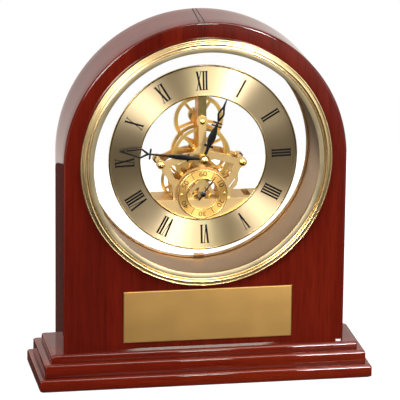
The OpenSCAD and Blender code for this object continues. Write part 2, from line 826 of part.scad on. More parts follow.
module motor_bridge() {
    color(satin) difference() {
        sheet(bridge_front, bridge_front + bridge_t) intersection() {
            union() {
                bar(intermediate_pos, seconds_pos, 3.6);
                translate([intermediate_pos[0] - 1.8, -box_drop]) square([11, 3]);
            }
            translate([-20, -box_drop]) square([40, 20]);
        }
        rod(intermediate_pos, arbor_r + running_gap, bridge_front - 1, bridge_front + 2);
        rod(seconds_pos, second_arbor_r + running_gap, bridge_front - 1, bridge_front + 2);
    }
}

module rotor() {
    color(steel) {
        sheet(motor_plane, motor_plane + wheel_t) translate(rotor_pos) teeth(rotor_teeth, rotor_m, rotor_phase);
        rod(rotor_pos, rotor_arbor_r, motor_plane - 1.4, magnet_back + 0.7);
        rod(rotor_pos, rotor_r, magnet_front, magnet_back);
    }
}

// ================= Train =================

module intermediate_wheel() {
    color(polished) {
        sheet(motor_plane, motor_plane + wheel_t) translate(intermediate_pos)
            spoked(intermediate_teeth, rotor_m, 0, 0.8, 1.4, 4, 0.8, 20);
        sheet(seconds_plane - 0.3, seconds_plane + wheel_t + 0.3) translate(intermediate_pos)
            teeth(intermediate_pinion_teeth, seconds_m, intermediate_phase);
        rod(intermediate_pos, arbor_r, front_plate_front, bridge_front + bridge_t);
    }
}

module seconds_wheel() {
    color(polished) {
        sheet(seconds_plane, seconds_plane + wheel_t) translate(seconds_pos)
            spoked(seconds_teeth, seconds_m, 0, 0.9, 1.8, 4, 1, 30);
        sheet(third_plane - 0.3, third_plane + wheel_t + 0.3) translate(seconds_pos)
            teeth(seconds_pinion_teeth, third_m, 0);
        rod(seconds_pos, second_arbor_r, second_hand_front, bridge_front + bridge_t);
        rod(seconds_pos, 1.1, front_plate_back + 0.1, seconds_plane);
    }
}

module third_wheel() {
    color(polished) {
        sheet(third_plane, third_plane + wheel_t) translate(third_pos)
            spoked(third_teeth, third_m, third_phase, 1.3, 2, 5, 1.1, 12);
        sheet(centre_plane - 0.4, centre_plane + wheel_t + 0.4) translate(third_pos)
            teeth(third_pinion_teeth, centre_m, 0);
        rod(third_pos, arbor_r, front_plate_front, rear_plate_back);
    }
}

module centre_wheel() {
    color(polished) difference() {
        union() {
            sheet(centre_plane, centre_plane + wheel_t)
                spoked(centre_teeth, centre_m, centre_phase, 1.8, 3.4, 5, 1.6, 100);
            rod(centre_pos, 2.2, centre_plane - 1.2, centre_plane);
        }
        rod(centre_pos, minute_arbor_r + running_gap, centre_plane - 2, centre_plane + wheel_t + 1);
    }
}

module minute_arbor() {
    collar_r = 2.2;
    color(polished) {
        rod(centre_pos, minute_arbor_r, minute_hand_front - 0.5, rear_plate_back);
        sheet(setting_plane - 0.2, setting_plane + wheel_t + 0.2) teeth(setting_pinion_teeth, setting_m, 0);
        sheet(minute_plane, minute_plane + wheel_t) teeth(cannon_teeth, minute_m, 0);
        rod(centre_pos, collar_r, centre_plane - 1.7, centre_plane - 1.3);
    }
}

module minute_wheel() {
    color(polished) {
        sheet(minute_plane, minute_plane + wheel_t) translate(minute_pos)
            spoked(minute_teeth, minute_m, minute_phase, 1.6, 2.6, 5, 1.4, 205);
        sheet(hour_plane - 0.3, hour_plane + wheel_t + 0.3) translate(minute_pos)
            teeth(minute_pinion_teeth, hour_m, 0);
        rod(minute_pos, arbor_r, front_plate_front, rear_plate_back);
    }
}

module hour_wheel() {
    color(polished) difference() {
        union() {
            sheet(hour_plane, hour_plane + wheel_t)
                spoked(hour_teeth, hour_m, hour_phase, 1.7, 4, 5, 1.6, 60);
            rod(centre_pos, pipe_r, hour_hand_front - 0.2, hour_plane + wheel_t + 0.8);
            rod(centre_pos, pipe_r + 0.8, front_plate_back + 0.1, hour_plane);
        }
        rod(centre_pos, pipe_in_r, hour_hand_front - 1, hour_plane + wheel_t + 2);
    }
}

module setting_wheel() {
    color(polished) {
        sheet(setting_plane, setting_plane + wheel_t) translate(setting_pos)
            spoked(setting_teeth, setting_m, setting_phase, 2, 4.4, 5, 1.7, 130);
        rod(setting_pos, arbor_r, bracket_back - 3, rear_glass_back + 5);
    }
}

module setting_knob() {
    knob_r = 4.5;
    front = rear_glass_back + 0.6;
    flutes = 24;
    color(satin) difference() {
        union() {
            rod(setting_pos, knob_r, front + 1.2, front + 5.2);
            rod(setting_pos, 1.6, rear_glass_front - 0.6, front + 1.2);
        }
        rod(setting_pos, arbor_r, rear_glass_front - 2, rear_glass_back + 5);
        for (i = [0 : flutes - 1]) {
            a = i * 360 / flutes;
            rod(setting_pos + knob_r * [cos(a), sin(a)], 0.28, front, front + 6, $fn = 16);
        }
    }
}

// ================= Seconds dial and hands =================

module seconds_dial() {
    seat = seconds_r + 0.7 - 2.8;
    rim = 0.8;
    color(polished) difference() {
        translate([0, 0, -seconds_drop]) turned() {
            translate([seconds_hole_r, ring_depth]) square([seconds_r - seconds_hole_r, 0.6]);
            translate([seconds_hole_r, ring_depth - rim_rise]) square([rim, rim_rise]);
            translate([seconds_r - rim, ring_depth - rim_rise]) square([rim, rim_rise]);
        }
        for (side = [-1, 1]) rod(seconds_pos + [side * seat, 0], 0.5, ring_depth - 1, ring_depth + 2);
    }
}

module dial_posts() {
    seat = seconds_r + 0.7 - 2.8;
    color(polished) for (side = [-1, 1]) difference() {
        rod(seconds_pos + [side * seat, 0], 1.2, ring_depth + 0.6, front_plate_front);
        rod(seconds_pos + [side * seat, 0], 0.5, ring_depth, front_plate_front + 1);
    }
}

module dial_screws() {
    seat = seconds_r + 0.7 - 2.8;
    color(polished) for (side = [-1, 1]) {
        rod(seconds_pos + [side * seat, 0], 0.5, ring_depth, front_plate_back);
        rod(seconds_pos + [side * seat, 0], 0.95, ring_depth - 0.5, ring_depth);
    }
}

// Draws a hand lying along +X and turns it to its angle, clockwise from twelve.
module hand(angle, front, hub) {
    sheet(front, front + hand_t) rotate(90 - angle) difference() {
        children();
        circle(hub);
    }
}

module hour_hand() {
    l = hour_hand_l;
    color(black) hand(hour_angle, hour_hand_front, pipe_r) {
        circle(pipe_r + 1.2);
        polygon([[0, -0.9], [7, -0.7], [9, -1.5], [16, -2.2], [20, -0.9], [23.4, -0.5],
            [26.8, -2.1], [30.4, -0.5], [l, -0.25], [l, 0.25], [30.4, 0.5], [26.8, 2.1],
            [23.4, 0.5], [20, 0.9], [16, 2.2], [9, 1.5], [7, 0.7], [0, 0.9]]);
        translate([8.2, -2.6]) square([0.9, 5.2]);
        translate([20.8, -3]) square([0.7, 6]);
        translate([22, -2.2]) square([0.6, 4.4]);
    }
}

module minute_hand() {
    l = minute_hand_l;
    color(black) hand(minute_angle, minute_hand_front, minute_arbor_r) {
        circle(minute_arbor_r + 1.6);
        difference() {
            polygon([[0, -1], [5, -1], [9.5, -1.2], [13.5, -2.1], [18, -1.6], [21, -0.5], [32.4, -0.35],
                [34.5, -0.6], [37.8, -2.5], [l, -0.2], [l, 0.2], [37.8, 2.5], [34.5, 0.6], [32.4, 0.35],
                [21, 0.5], [18, 1.6], [13.5, 2.1], [9.5, 1.2], [5, 1], [0, 1]]);
            polygon([[35.4, 0], [38, -1.8], [l - 2.5, 0], [38, 1.8]]);
        }
        translate([9.3, -2.2]) square([0.8, 4.4]);
        translate([32.2, -3]) square([0.9, 6]);
    }
}

module second_hand() {
    l = second_hand_l;
    tail = 4.2;
    color(black) {
        sheet(second_hand_front, second_hand_front + 0.3) translate(seconds_pos) rotate(90 - second_angle)
            difference() {
                polygon([[-tail, -0.4], [l, -0.16], [l, 0.16], [-tail, 0.4]]);
                circle(second_arbor_r);
            }
        difference() {
            rod(seconds_pos, second_hub_r, second_hand_front - 0.2, second_hand_front + 0.5);
            rod(seconds_pos, second_arbor_r, second_hand_front - 1, second_hand_front + 1);
        }
    }
}

module hub_cap() {
    nose = minute_hand_front - cap_front - cap_r;
    color(polished) difference() {
        turned() {
            square([1, 0.001]);
            translate([0, cap_front + cap_r]) intersection() {
                circle(cap_r);
                translate([0, -cap_r]) square([cap_r, cap_r]);
            }
            translate([0, cap_front + cap_r]) square([cap_r, nose]);
        }
        rod(centre_pos, minute_arbor_r, minute_hand_front - 0.5, minute_hand_front + 1);
        rod(centre_pos, 5, -1, 1);
    }
}

felt_sheet();
base_lower();
base_middle();
base_upper();
base_screws();
corner_blocks();
case_front();
case_band();
case_back();
name_plate();
bezel();
front_glass();
glass_gasket();
drum();
rear_glass();
rear_ring();
rear_ring_screws();
chapter_ring();
top_bracket();
front_plate();
rear_plate();
pillars();
pillar_screws();
battery_box();
battery();
battery_contacts();
battery_cover();
movement_screws();
circuit_board();
coil();
stator();
motor_bridge();
rotor();
intermediate_wheel();
seconds_wheel();
third_wheel();
centre_wheel();
minute_arbor();
minute_wheel();
hour_wheel();
setting_wheel();
setting_knob();
seconds_dial();
dial_posts();
dial_screws();
hour_hand();
minute_hand();
second_hand();
hub_cap();
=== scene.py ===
"""The looks of a round-topped mantel clock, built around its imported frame.

Sizes are written in millimetres. A depth is measured backwards from the front face of the case, and
places on the dial are (right, up) from the hands' axis, as seen from the front. Every mesh is made in
metres in the frame's own place, so each finished object sits at the origin.
"""

import json
import logging
import math
from dataclasses import dataclass
from enum import Enum
from typing import Iterable, Optional, Sequence

import bmesh
import bpy
from mathutils import Matrix, Vector

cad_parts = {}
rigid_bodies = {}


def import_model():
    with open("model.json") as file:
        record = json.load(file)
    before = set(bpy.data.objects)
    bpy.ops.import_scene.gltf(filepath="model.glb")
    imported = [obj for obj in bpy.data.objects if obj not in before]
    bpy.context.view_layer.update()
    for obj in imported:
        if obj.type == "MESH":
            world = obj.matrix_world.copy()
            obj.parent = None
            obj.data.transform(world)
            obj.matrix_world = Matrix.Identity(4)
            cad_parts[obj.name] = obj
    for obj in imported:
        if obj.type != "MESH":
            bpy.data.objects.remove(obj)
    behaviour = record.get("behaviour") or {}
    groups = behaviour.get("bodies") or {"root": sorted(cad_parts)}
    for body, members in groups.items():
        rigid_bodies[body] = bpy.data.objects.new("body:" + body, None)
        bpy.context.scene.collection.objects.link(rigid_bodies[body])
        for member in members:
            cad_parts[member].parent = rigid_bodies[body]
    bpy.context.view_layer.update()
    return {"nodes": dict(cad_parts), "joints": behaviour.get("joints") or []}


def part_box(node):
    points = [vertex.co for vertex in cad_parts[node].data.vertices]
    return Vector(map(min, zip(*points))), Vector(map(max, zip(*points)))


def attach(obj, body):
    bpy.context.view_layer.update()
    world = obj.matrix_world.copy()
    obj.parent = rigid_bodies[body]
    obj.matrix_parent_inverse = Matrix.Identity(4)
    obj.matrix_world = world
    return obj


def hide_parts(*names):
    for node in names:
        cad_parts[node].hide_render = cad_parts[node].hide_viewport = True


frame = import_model()

LOG = logging.getLogger("mantel_clock")
MM = 0.001
SHARP = 32.0        # an edge that bends more than this many degrees stays sharp, as a rule
CRISP = 40.0        # the same for turned brass, whose grooves are shallow
DIAL_FACE = 10.7    # the depth of both dials' faces
Point = tuple[float, float]
Loop = list[Vector]
Colour = tuple[float, float, float]
Socket = bpy.types.NodeSocket
Piece = bpy.types.Object
Material = bpy.types.Material
BMesh = bmesh.types.BMesh
BLACK: Colour = (0.0, 0.0, 0.0)
WHITE: Colour = (1.0, 1.0, 1.0)
CENTRE: Point = (0.0, 0.0)
SECONDS: Point = (0.0, -22.2)


def axis_place() -> tuple[float, float]:
    """Reads where the dial lies in the frame.

    Returns:
        The depth origin (the case's front face) and the hands' height, both in millimetres.
    """
    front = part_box("case_front")[0].y / MM
    minute = next(j for j in frame["joints"] if j["name"] == "minute_turn")
    return front, minute["pos_m"][2] / MM


FRONT_Y, DIAL_Z = axis_place()


def at(right: float, up: float, depth: float) -> Vector:
    """Turns a place on the dial and a depth, in millimetres, into a point of the frame in metres."""
    return Vector((right, FRONT_Y + depth, DIAL_Z + up)) * MM


def polar(radius: float, degrees: float, centre: Point = (0.0, 0.0)) -> Point:
    """Gives the point at a radius and an angle, counter-clockwise from three o'clock, round a centre."""
    angle = math.radians(degrees)
    return centre[0] + radius * math.cos(angle), centre[1] + radius * math.sin(angle)


def quarter(step: int) -> list[Point]:
    """Gives the cosine and the sine of every so many degrees from nought to a right angle."""
    return [polar(1, a) for a in range(0, 91, step)]


def srgb(red: int, green: int, blue: int) -> Colour:
    """Turns a colour from 0 to 255, as a screen shows it, into the linear values that shaders take."""
    def linear(value: int) -> float:
        """Turns one channel."""
        v = value / 255
        return v / 12.92 if v <= 0.04045 else ((v + 0.055) / 1.055) ** 2.4
    return linear(red), linear(green), linear(blue)


# ---------------------------------------------------------------------------------------------
# Nodes and finishes
# ---------------------------------------------------------------------------------------------


class Nodes:
    """A node tree under construction, with short calls for what is added again and again."""

    def __init__(self, tree: bpy.types.NodeTree) -> None:
        """Keeps the tree that the nodes go into."""
        self.tree = tree

    def node(self, kind: str, inputs: Optional[dict] = None, **settings: object) -> bpy.types.Node:
        """Adds one node.

        Args:
            kind: the node's type. Its ShaderNode prefix may be left off.
            inputs: socket name or number to a value, or to a socket to link from.
            settings: the node's own properties.

        Returns:
            The new node.
        """
        made = self.tree.nodes.new(kind if "Node" in kind else "ShaderNode" + kind)
        for key, value in settings.items():
            setattr(made, key, value)
        for key, value in (inputs or {}).items():
            if isinstance(value, Socket):
                self.tree.links.new(value, made.inputs[key])
            else:
                made.inputs[key].default_value = value
        return made

    def calc(self, operation: str, a: object, b: object = 0.0) -> Socket:
        """Gives the result of one sum on two values."""
        return self.node("Math", {0: a, 1: b}, operation=operation).outputs[0]

    def vector(self, operation: str, a: object, b: object = (0.0, 0.0, 0.0)) -> Socket:
        """Gives the vector that one sum on two vectors makes."""
        return self.node("VectorMath", {0: a, 1: b}, operation=operation).outputs[0]

    def xyz(self, **parts: object) -> Socket:
        """Gives a vector from its X, Y and Z, each nought where it is left off."""
        return self.node("CombineXYZ", parts).outputs[0]

    def either(self, factor: object, off: Socket, on: Socket) -> Socket:
        """Gives one shader mixed into another by a factor."""
        return self.node("MixShader", {0: factor, 1: off, 2: on}).outputs[0]

    def seen(self, path: bpy.types.NodeOutputs) -> Socket:
        """Gives 1 for what the camera sees straight or through glass, from a Light Path's outputs."""
        return self.calc("MAXIMUM", path["Is Camera Ray"], path["Is Transmission Ray"])


class Shader(Nodes):
    """A material under construction, with short calls for the patterns that the finishes use."""

    def __init__(self, name: str, constants: dict[str, object]) -> None:
        """Makes the material and sets the constants straight on the shader's sockets.

        Args:
            name: the material's name.
            constants: socket name to value, for what is the same all over the surface.
        """
        self.material = bpy.data.materials.new(name)
        self.material.use_nodes = True
        super().__init__(self.material.node_tree)
        self.surface = self.tree.nodes["Principled BSDF"]
        for socket, value in constants.items():
            self.surface.inputs[socket].default_value = value
        self.coords = self.node("TexCoord").outputs["Object"]

    def stretched(self, scale: Sequence[float], centre: Sequence[float] = (0, 0, 0)) -> Socket:
        """Gives Object coordinates moved to a centre, then scaled along each axis."""
        return self.vector("MULTIPLY", self.vector("SUBTRACT", self.coords, tuple(centre)), tuple(scale))

    def noise(self, place: object, detail: float = 3.0, rough: float = 0.5, warp: float = 0.0) -> Socket:
        """Gives a noise pattern's value, at a vector or at Object coordinates scaled along each axis."""
        vector = place if isinstance(place, Socket) else self.stretched(place)
        return self.node("TexNoise", {"Vector": vector, "Scale": 1.0, "Detail": detail,
                                      "Roughness": rough, "Distortion": warp}).outputs["Fac"]

    def shared(self, a: Socket, share: float, b: Socket) -> Socket:
        """Gives the mean of two values, the first by its share and the second by the rest."""
        return self.calc("ADD", self.calc("MULTIPLY", a, share), self.calc("MULTIPLY", b, 1 - share))

    def ramp(self, value: Socket, stops: Sequence[tuple[float, Colour]]) -> Socket:
        """Gives a colour that runs through the stops as the value goes from 0 to 1."""
        made = self.node("ValToRGB", {0: value})
        band = made.color_ramp
        while len(band.elements) < len(stops):
            band.elements.new(0.5)
        for element, (place, colour) in zip(band.elements, stops):
            element.position, element.color = place, (*colour, 1.0)
        return made.outputs["Color"]

    def mixed(self, factor: object, a: object, b: object, blend: str = "MIX") -> Socket:
        """Gives one colour blended over another by a factor."""
        a, b = (v if isinstance(v, Socket) else (*v, 1.0) for v in (a, b))
        return self.node("Mix", {0: factor, 6: a, 7: b}, data_type="RGBA", blend_type=blend).outputs[2]

    def feed(self, socket: str, source: Socket) -> None:
        """Links a pattern to one of the surface's sockets."""
        self.tree.links.new(source, self.surface.inputs[socket])

    def spread(self, value: Socket, low: float, high: float) -> Socket:
        """Stretches a value from 0..1 to low..high."""
        return self.node("MapRange", {"Value": value, "To Min": low, "To Max": high}).outputs[0]

    def relief(self, height: Socket, strength: float, depth_mm: float) -> None:
        """Turns a pattern into bump of a given depth."""
        bump = self.node("Bump", {"Height": height, "Strength": strength, "Distance": depth_mm * MM})
        self.feed("Normal", bump.outputs["Normal"])


class Grain(Enum):
    """Which way the figure of a board runs."""

    UPRIGHT = (1.0, 1.0, 0.05)
    LEVEL = (0.05, 1.0, 1.0)


@dataclass(frozen=True)
class Lacquer:
    """Glossy clear lacquer over stained, straight-grained wood.

    The figure, the cloud and the pores are noise scales across the grain.
    """

    name: str
    dark: Colour
    middle: Colour
    light: Colour
    grain: Grain
    ripple: float = 0.10
    figure: float = 90
    cloud: float = 14
    pores: float = 1500

    def build(self) -> Material:
        """Makes the material: broad figure, fine pores, and a faint ripple in the coat."""
        shader = Shader(self.name, {"Roughness": 0.42, "Specular IOR Level": 0.0, "Coat Weight": 1.0,
                                    "Coat Roughness": 0.035, "Coat IOR": 1.47})
        run = self.grain.value
        figure = shader.noise([self.figure * v for v in run], 4.0, 0.55, 0.6)
        cloud = shader.noise([self.cloud * (v + 0.3) for v in run], 2.0)
        pores = shader.noise([self.pores * v ** 1.1 for v in run], 2.0, 0.6)
        colour = shader.ramp(shader.shared(figure, 0.62, cloud),
                             [(0.32, self.dark), (0.52, self.middle), (0.72, self.light)])
        specks = shader.ramp(shader.spread(pores, 0.0, 1.0), [(0.36, BLACK), (0.5, WHITE)])
        speckled = shader.mixed(1.0, colour, specks, "MULTIPLY")
        shader.feed("Base Color", shader.mixed(0.24, colour, speckled))
        shader.feed("Roughness", shader.spread(cloud, 0.36, 0.5))
        shader.relief(shader.noise((26, 26, 26), 1.0), self.ripple, 0.22)
        return shader.material


class Brushing(Enum):
    """How a metal's fine scratches run: the noise's scale along each axis, and its detail.

    ROUND takes its first scale around the centre and its second away from it.
    """

    NONE = ((420, 420, 420), 3.0)
    LEVEL = ((35, 3500, 3500), 2.0)
    UPRIGHT = ((3500, 3500, 35), 2.0)
    ROUND = ((5, 5200, 5), 2.0)


@dataclass(frozen=True)
class Metal:
    """Brass and steel, from polished to brushed satin."""

    name: str
    colour: Colour
    rough: float
    brushing: Brushing = Brushing.NONE
    centre: Point = (0.0, 0.0)
    tarnish: float = 0.10
    anisotropy: float = 0.0
    scratch: float = 0.10

    def build(self) -> Material:
        """Makes the material: tone that drifts a little, scratches by the brushing, and their relief."""
        shader = Shader(self.name, {"Metallic": 1.0, "Roughness": self.rough,
                                    "Anisotropic": self.anisotropy, "Specular IOR Level": 0.5})
        middle = at(*self.centre, 0)
        drift = shader.noise((55, 55, 55))
        worn = tuple(c * (1 - 2.2 * self.tarnish) for c in self.colour)
        clean = tuple(min(1.0, c * (1 + 0.5 * self.tarnish)) for c in self.colour)
        base = shader.ramp(drift, [(0.3, worn), (0.7, clean)])
        lines = self.scratches(shader, middle)
        fine = tuple(c * 0.80 for c in self.colour)
        shader.feed("Base Color", shader.mixed(shader.spread(lines, 0.0, self.scratch * 2), base, fine))
        shader.feed("Roughness", shader.spread(shader.shared(lines, 0.6, drift), self.rough * 0.82,
                                               self.rough * 1.2))
        shader.relief(lines, self.scratch, 0.02 if self.brushing is Brushing.NONE else 0.05)
        if self.anisotropy:
            shader.feed("Tangent", self.across(shader, middle))
        return shader.material

    def across(self, shader: Shader, middle: Vector) -> Socket:
        """Gives the direction across the scratches, along which a highlight is drawn out.

        Args:
            shader: the material under construction.
            middle: the centre that round brushing runs about.

        Returns:
            A unit vector in world space.
        """
        if self.brushing is Brushing.ROUND:
            away = shader.stretched((1, 0, 1), middle)
        elif self.brushing is Brushing.LEVEL:
            away = shader.xyz(Z=1.0)
        else:
            away = shader.xyz(X=1.0)
        turned = shader.node("VectorTransform", {0: away}, vector_type="VECTOR",
                             convert_from="OBJECT", convert_to="WORLD").outputs[0]
        return shader.vector("NORMALIZE", turned)

    def scratches(self, shader: Shader, middle: Vector) -> Socket:
        """Gives the scratch pattern for the brushing.

        Args:
            shader: the material under construction.
            middle: the centre that round brushing runs about.

        Returns:
            The pattern's value, 0 to 1.
        """
        scale, detail = self.brushing.value
        if self.brushing is not Brushing.ROUND:
            return shader.noise(scale, detail)
        around, outward, _ = scale
        away = shader.stretched((1, 0, 1), middle)
        radius = shader.node("VectorMath", {0: away}, operation="LENGTH").outputs["Value"]
        swirl = shader.vector("MULTIPLY", shader.vector("NORMALIZE", away), (around,) * 3)
        depth = shader.xyz(Y=shader.calc("MULTIPLY", radius, outward))
        return shader.noise(shader.vector("ADD", swirl, depth), detail)


@dataclass(frozen=True)
class Coat:
    """Paint, plastic, rubber, cloth and bare wood: one colour with its own mottle and relief."""

    name: str
    colour: Colour
    rough: float
    speck: float = 1200.0
    variation: float = 0.15
    relief: float = 0.1
    sheen: float = 0.0
    gloss: float = 0.0
    stretch: Sequence[float] = (1.0, 1.0, 1.0)
    specular: float = 0.5

    def build(self) -> Material:
        """Makes the material from two sizes of noise."""
        shader = Shader(self.name, {"Roughness": self.rough, "Sheen Weight": self.sheen,
                                    "Specular IOR Level": self.specular,
                                    "Coat Weight": self.gloss, "Coat Roughness": 0.08})
        fine = shader.noise([self.speck * v for v in self.stretch])
        broad = shader.noise([60 * v for v in self.stretch], 2.0)
        low = tuple(c * (1 - self.variation) for c in self.colour)
        high = tuple(min(1.0, c * (1 + self.variation)) for c in self.colour)
        shader.feed("Base Color", shader.ramp(shader.shared(fine, 0.5, broad), [(0.35, low), (0.65, high)]))
        shader.feed("Roughness", shader.spread(fine, self.rough * 0.9, min(1.0, self.rough * 1.12)))
        shader.relief(fine, self.relief, 0.05)
        return shader.material


@dataclass(frozen=True)
class Clear:
    """Flat polished glass. Light for the surfaces behind it passes straight through."""

    name: str
    tint: Colour

    def build(self) -> Material:
        """Makes the glass, with a trace of dust in its gloss."""
        shader = Shader(self.name, {"Base Color": (*self.tint, 1.0), "Roughness": 0.0, "IOR": 1.12,
                                    "Transmission Weight": 1.0})
        shader.feed("Roughness", shader.spread(shader.noise((240, 240, 240), 4.0), 0.0, 0.012))
        path = shader.node("LightPath").outputs
        mirrored = shader.calc("SUBTRACT", path["Is Glossy Ray"], path["Is Transmission Ray"])
        passing = shader.calc("MAXIMUM", path["Is Shadow Ray"], path["Is Diffuse Ray"])
        passing = shader.calc("MAXIMUM", passing, mirrored)
        through = shader.node("BsdfTransparent", {"Color": (*self.tint, 1.0)}).outputs[0]
        mixed = shader.either(passing, shader.surface.outputs[0], through)
        shader.tree.links.new(mixed, shader.tree.nodes["Material Output"].inputs["Surface"])
        return shader.material


class Finishes:
    """Every finish of the clock, made once and shared."""

    def __init__(self) -> None:
        """Builds the materials."""
        case = dict(dark=srgb(74, 15, 8), middle=srgb(98, 22, 10), light=srgb(114, 30, 14))
        base = dict(dark=srgb(74, 15, 6), middle=srgb(108, 26, 10), light=srgb(132, 40, 15))
        self.case = Lacquer("case_lacquer", grain=Grain.UPRIGHT, **case).build()
        self.base = Lacquer("base_lacquer", grain=Grain.LEVEL, ripple=0.015, **base).build()
        self.bezel = Metal("bezel_polished", srgb(218, 194, 146), 0.25, tarnish=0.05, scratch=0.012).build()
        self.bevel = Metal("bezel_satin", srgb(204, 186, 148), 0.34, Brushing.ROUND, anisotropy=0.3).build()
        self.drum = Metal("drum_satin", srgb(178, 146, 106), 0.36, tarnish=0.06).build()
        self.dial = Metal("dial_brushed", srgb(206, 184, 146), 0.35, Brushing.ROUND,
                          anisotropy=0.95, tarnish=0.03, scratch=0.06).build()
        self.seconds = Metal("seconds_brushed", srgb(226, 178, 100), 0.46, Brushing.ROUND,
                             centre=SECONDS, anisotropy=0.75, tarnish=0.03).build()
        self.rim = Metal("rim_polished", srgb(232, 206, 140), 0.10, tarnish=0.03, scratch=0.04).build()
        self.plate = Metal("plate_satin", srgb(158, 122, 70), 0.42, Brushing.LEVEL, tarnish=0.04,
                           anisotropy=0.6).build()
        self.bar = Metal("bar_polished", srgb(216, 188, 120), 0.24, tarnish=0.06, scratch=0.03).build()
        # painted reflection: the bar's left side takes this warmer brass in place of the wheels that it
        # mirrors
        self.bar_side = Metal("bar_side", srgb(214, 148, 62), 0.30, tarnish=0.14, scratch=0.05).build()
        self.frame = Metal("frame_satin", srgb(222, 187, 128), 0.38, tarnish=0.05).build()
        self.box = Metal("box_satin", srgb(212, 180, 126), 0.42, Brushing.LEVEL, tarnish=0.05).build()
        self.wheel = Metal("wheel_brass", srgb(248, 206, 116), 0.30, tarnish=0.06).build()
        self.polished = Metal("polished_brass", srgb(246, 212, 140), 0.22, tarnish=0.03,
                              scratch=0.03).build()
        self.knob = Metal("knob_brass", srgb(226, 200, 142), 0.25, tarnish=0.08).build()
        self.steel = Metal("plain_steel", srgb(190, 190, 188), 0.30, tarnish=0.08).build()
        self.magnet = Metal("dark_magnet", srgb(80, 80, 84), 0.35).build()
        self.copper = Metal("copper_wire", srgb(200, 120, 74), 0.25, Brushing.UPRIGHT).build()
        self.glass = Clear("clear_glass", (0.999, 1.0, 0.9995)).build()
        self.seam = Coat("open_seam", srgb(30, 12, 9), 0.9, relief=0.3).build()
        self.enamel = Coat("black_enamel", srgb(15, 11, 10), 0.35, gloss=0.15, variation=0.1,
                           relief=0.03, specular=0.2).build()
        self.ink = Coat("numeral_black", srgb(9, 7, 6), 0.6, variation=0.1, relief=0.05,
                        specular=0.1).build()
        self.rubber = Coat("gasket_rubber", srgb(34, 31, 29), 0.7).build()
        self.felt = Coat("green_felt", srgb(28, 52, 36), 0.95, speck=2600.0, variation=0.3, relief=0.6,
                         sheen=0.4).build()
        self.bare = Coat("bare_wood", srgb(196, 158, 108), 0.6, speck=900.0, stretch=(1, 1, 0.05)).build()
        self.sleeve = Coat("battery_sleeve", srgb(58, 96, 70), 0.35, gloss=0.4).build()
        self.board = Coat("circuit_board", srgb(24, 78, 44), 0.4, gloss=0.3).build()


# ---------------------------------------------------------------------------------------------
# Mesh building
# ---------------------------------------------------------------------------------------------


def add_object(name: str, data: bpy.types.ID) -> Piece:
    """Makes an object of its data and puts it in the scene."""
    made = bpy.data.objects.new(name, data)
    bpy.context.scene.collection.objects.link(made)
    return made


def mesh_object(name: str, bm: BMesh, material: Material,
                sharp: float = SHARP) -> Piece:
    """Turns a finished bmesh into an object with smooth faces and sharp corners.

    Args:
        name: the object's name.
        bm: the mesh, in metres in the frame. It is freed.
        material: its only material.
        sharp: edges that bend more than this many degrees stay sharp.

    Returns:
        The new object, at the origin.
    """
    bmesh.ops.remove_doubles(bm, verts=bm.verts, dist=1e-7)
    bmesh.ops.recalc_face_normals(bm, faces=bm.faces)
    mesh = bpy.data.meshes.new(name)
    bm.to_mesh(mesh)
    bm.free()
    mesh.materials.append(material)
    mesh.shade_smooth()
    mesh.set_sharp_from_angle(angle=math.radians(sharp))
    return add_object(name, mesh)


def loft(bm: BMesh, loops: Sequence[Loop], ring: bool) -> None:
    """Joins loops of equally many points into a skin.

    Args:
        bm: the mesh to add to.
        loops: the loops, in order. A loop of one point is a pole.
        ring: True joins the last loop to the first, False caps the two ends.
    """
    rows = [[bm.verts.new(point) for point in loop] for loop in loops]
    pairs = list(zip(rows, rows[1:] + rows[:1])) if ring else list(zip(rows, rows[1:]))
    for low, high in pairs:
        count = max(len(low), len(high))
        for i in range(count):
            j = (i + 1) % count
            if len(low) == 1:
                bm.faces.new((low[0], high[j], high[i]))
            elif len(high) == 1:
                bm.faces.new((low[i], low[j], high[0]))
            else:
                bm.faces.new((low[i], low[j], high[j], high[i]))
    if not ring:
        for row in (rows[0], rows[-1]):
            if len(row) > 2:
                bm.faces.new(row)


def circle_loop(radius: float, depth: float, centre: Point, count: int) -> Loop:
    """Gives a circle's points about the dial's axis, or a single point where its radius is nought."""
    if radius < 1e-6:
        return [at(*centre, depth)]
    return [at(*polar(radius, 360 * i / count, centre), depth) for i in range(count)]


def lathe(bm: BMesh, profile: Sequence[Point], centre: Point = CENTRE, count: int = 192,
          ring: bool = True) -> None:
    """Turns a profile of (radius, depth) points about an axis that runs along the depth.

    Args:
        bm: the mesh to add to.
        profile: the profile's points.
        centre: where the axis stands on the dial.
        count: how many steps go round.
        ring: True for a closed profile, False for a solid that starts and ends on the axis or is capped.
    """
    loft(bm, [circle_loop(r, d, centre, count) for r, d in profile], ring)


def softened(radius: float, front: float, back: float, soft: float) -> list[Point]:
    """Gives the profile of a plain round solid with its two edges taken off."""
    return [(0.0, front), (radius - soft, front), (radius, front + soft), (radius, back - soft),
            (radius - soft, back), (0.0, back)]


def flat_ring(inner: float, outer: float, face: float, thick: float) -> list[Point]:
    """Gives the profile of a dial's flat ring."""
    return [(inner, face), (outer, face), (outer, face + thick), (inner, face + thick)]


def raised_rim(start: float, end: float, top: float, bottom: float, soft: float,
               steps: int) -> list[Point]:
    """Gives the profile of a dial's raised rim, its corners rounded."""
    return rounded([(start, bottom), (start, top), (end, top), (end, bottom)], soft, steps)


def turned_piece(name: str, profiles: Iterable[Sequence[Point]], material: Material,
                 sharp: float = SHARP, **how: object) -> Piece:
    """Builds one piece of turned profiles. What else is given goes to lathe."""
    bm = bmesh.new()
    for profile in profiles:
        lathe(bm, profile, **how)
    return mesh_object(name, bm, material, sharp)


def lofted_piece(name: str, loops: Sequence[Loop], ring: bool, material: Material,
                 sharp: float = SHARP) -> Piece:
    """Builds one piece of a single loft."""
    bm = bmesh.new()
    loft(bm, loops, ring)
    return mesh_object(name, bm, material, sharp)


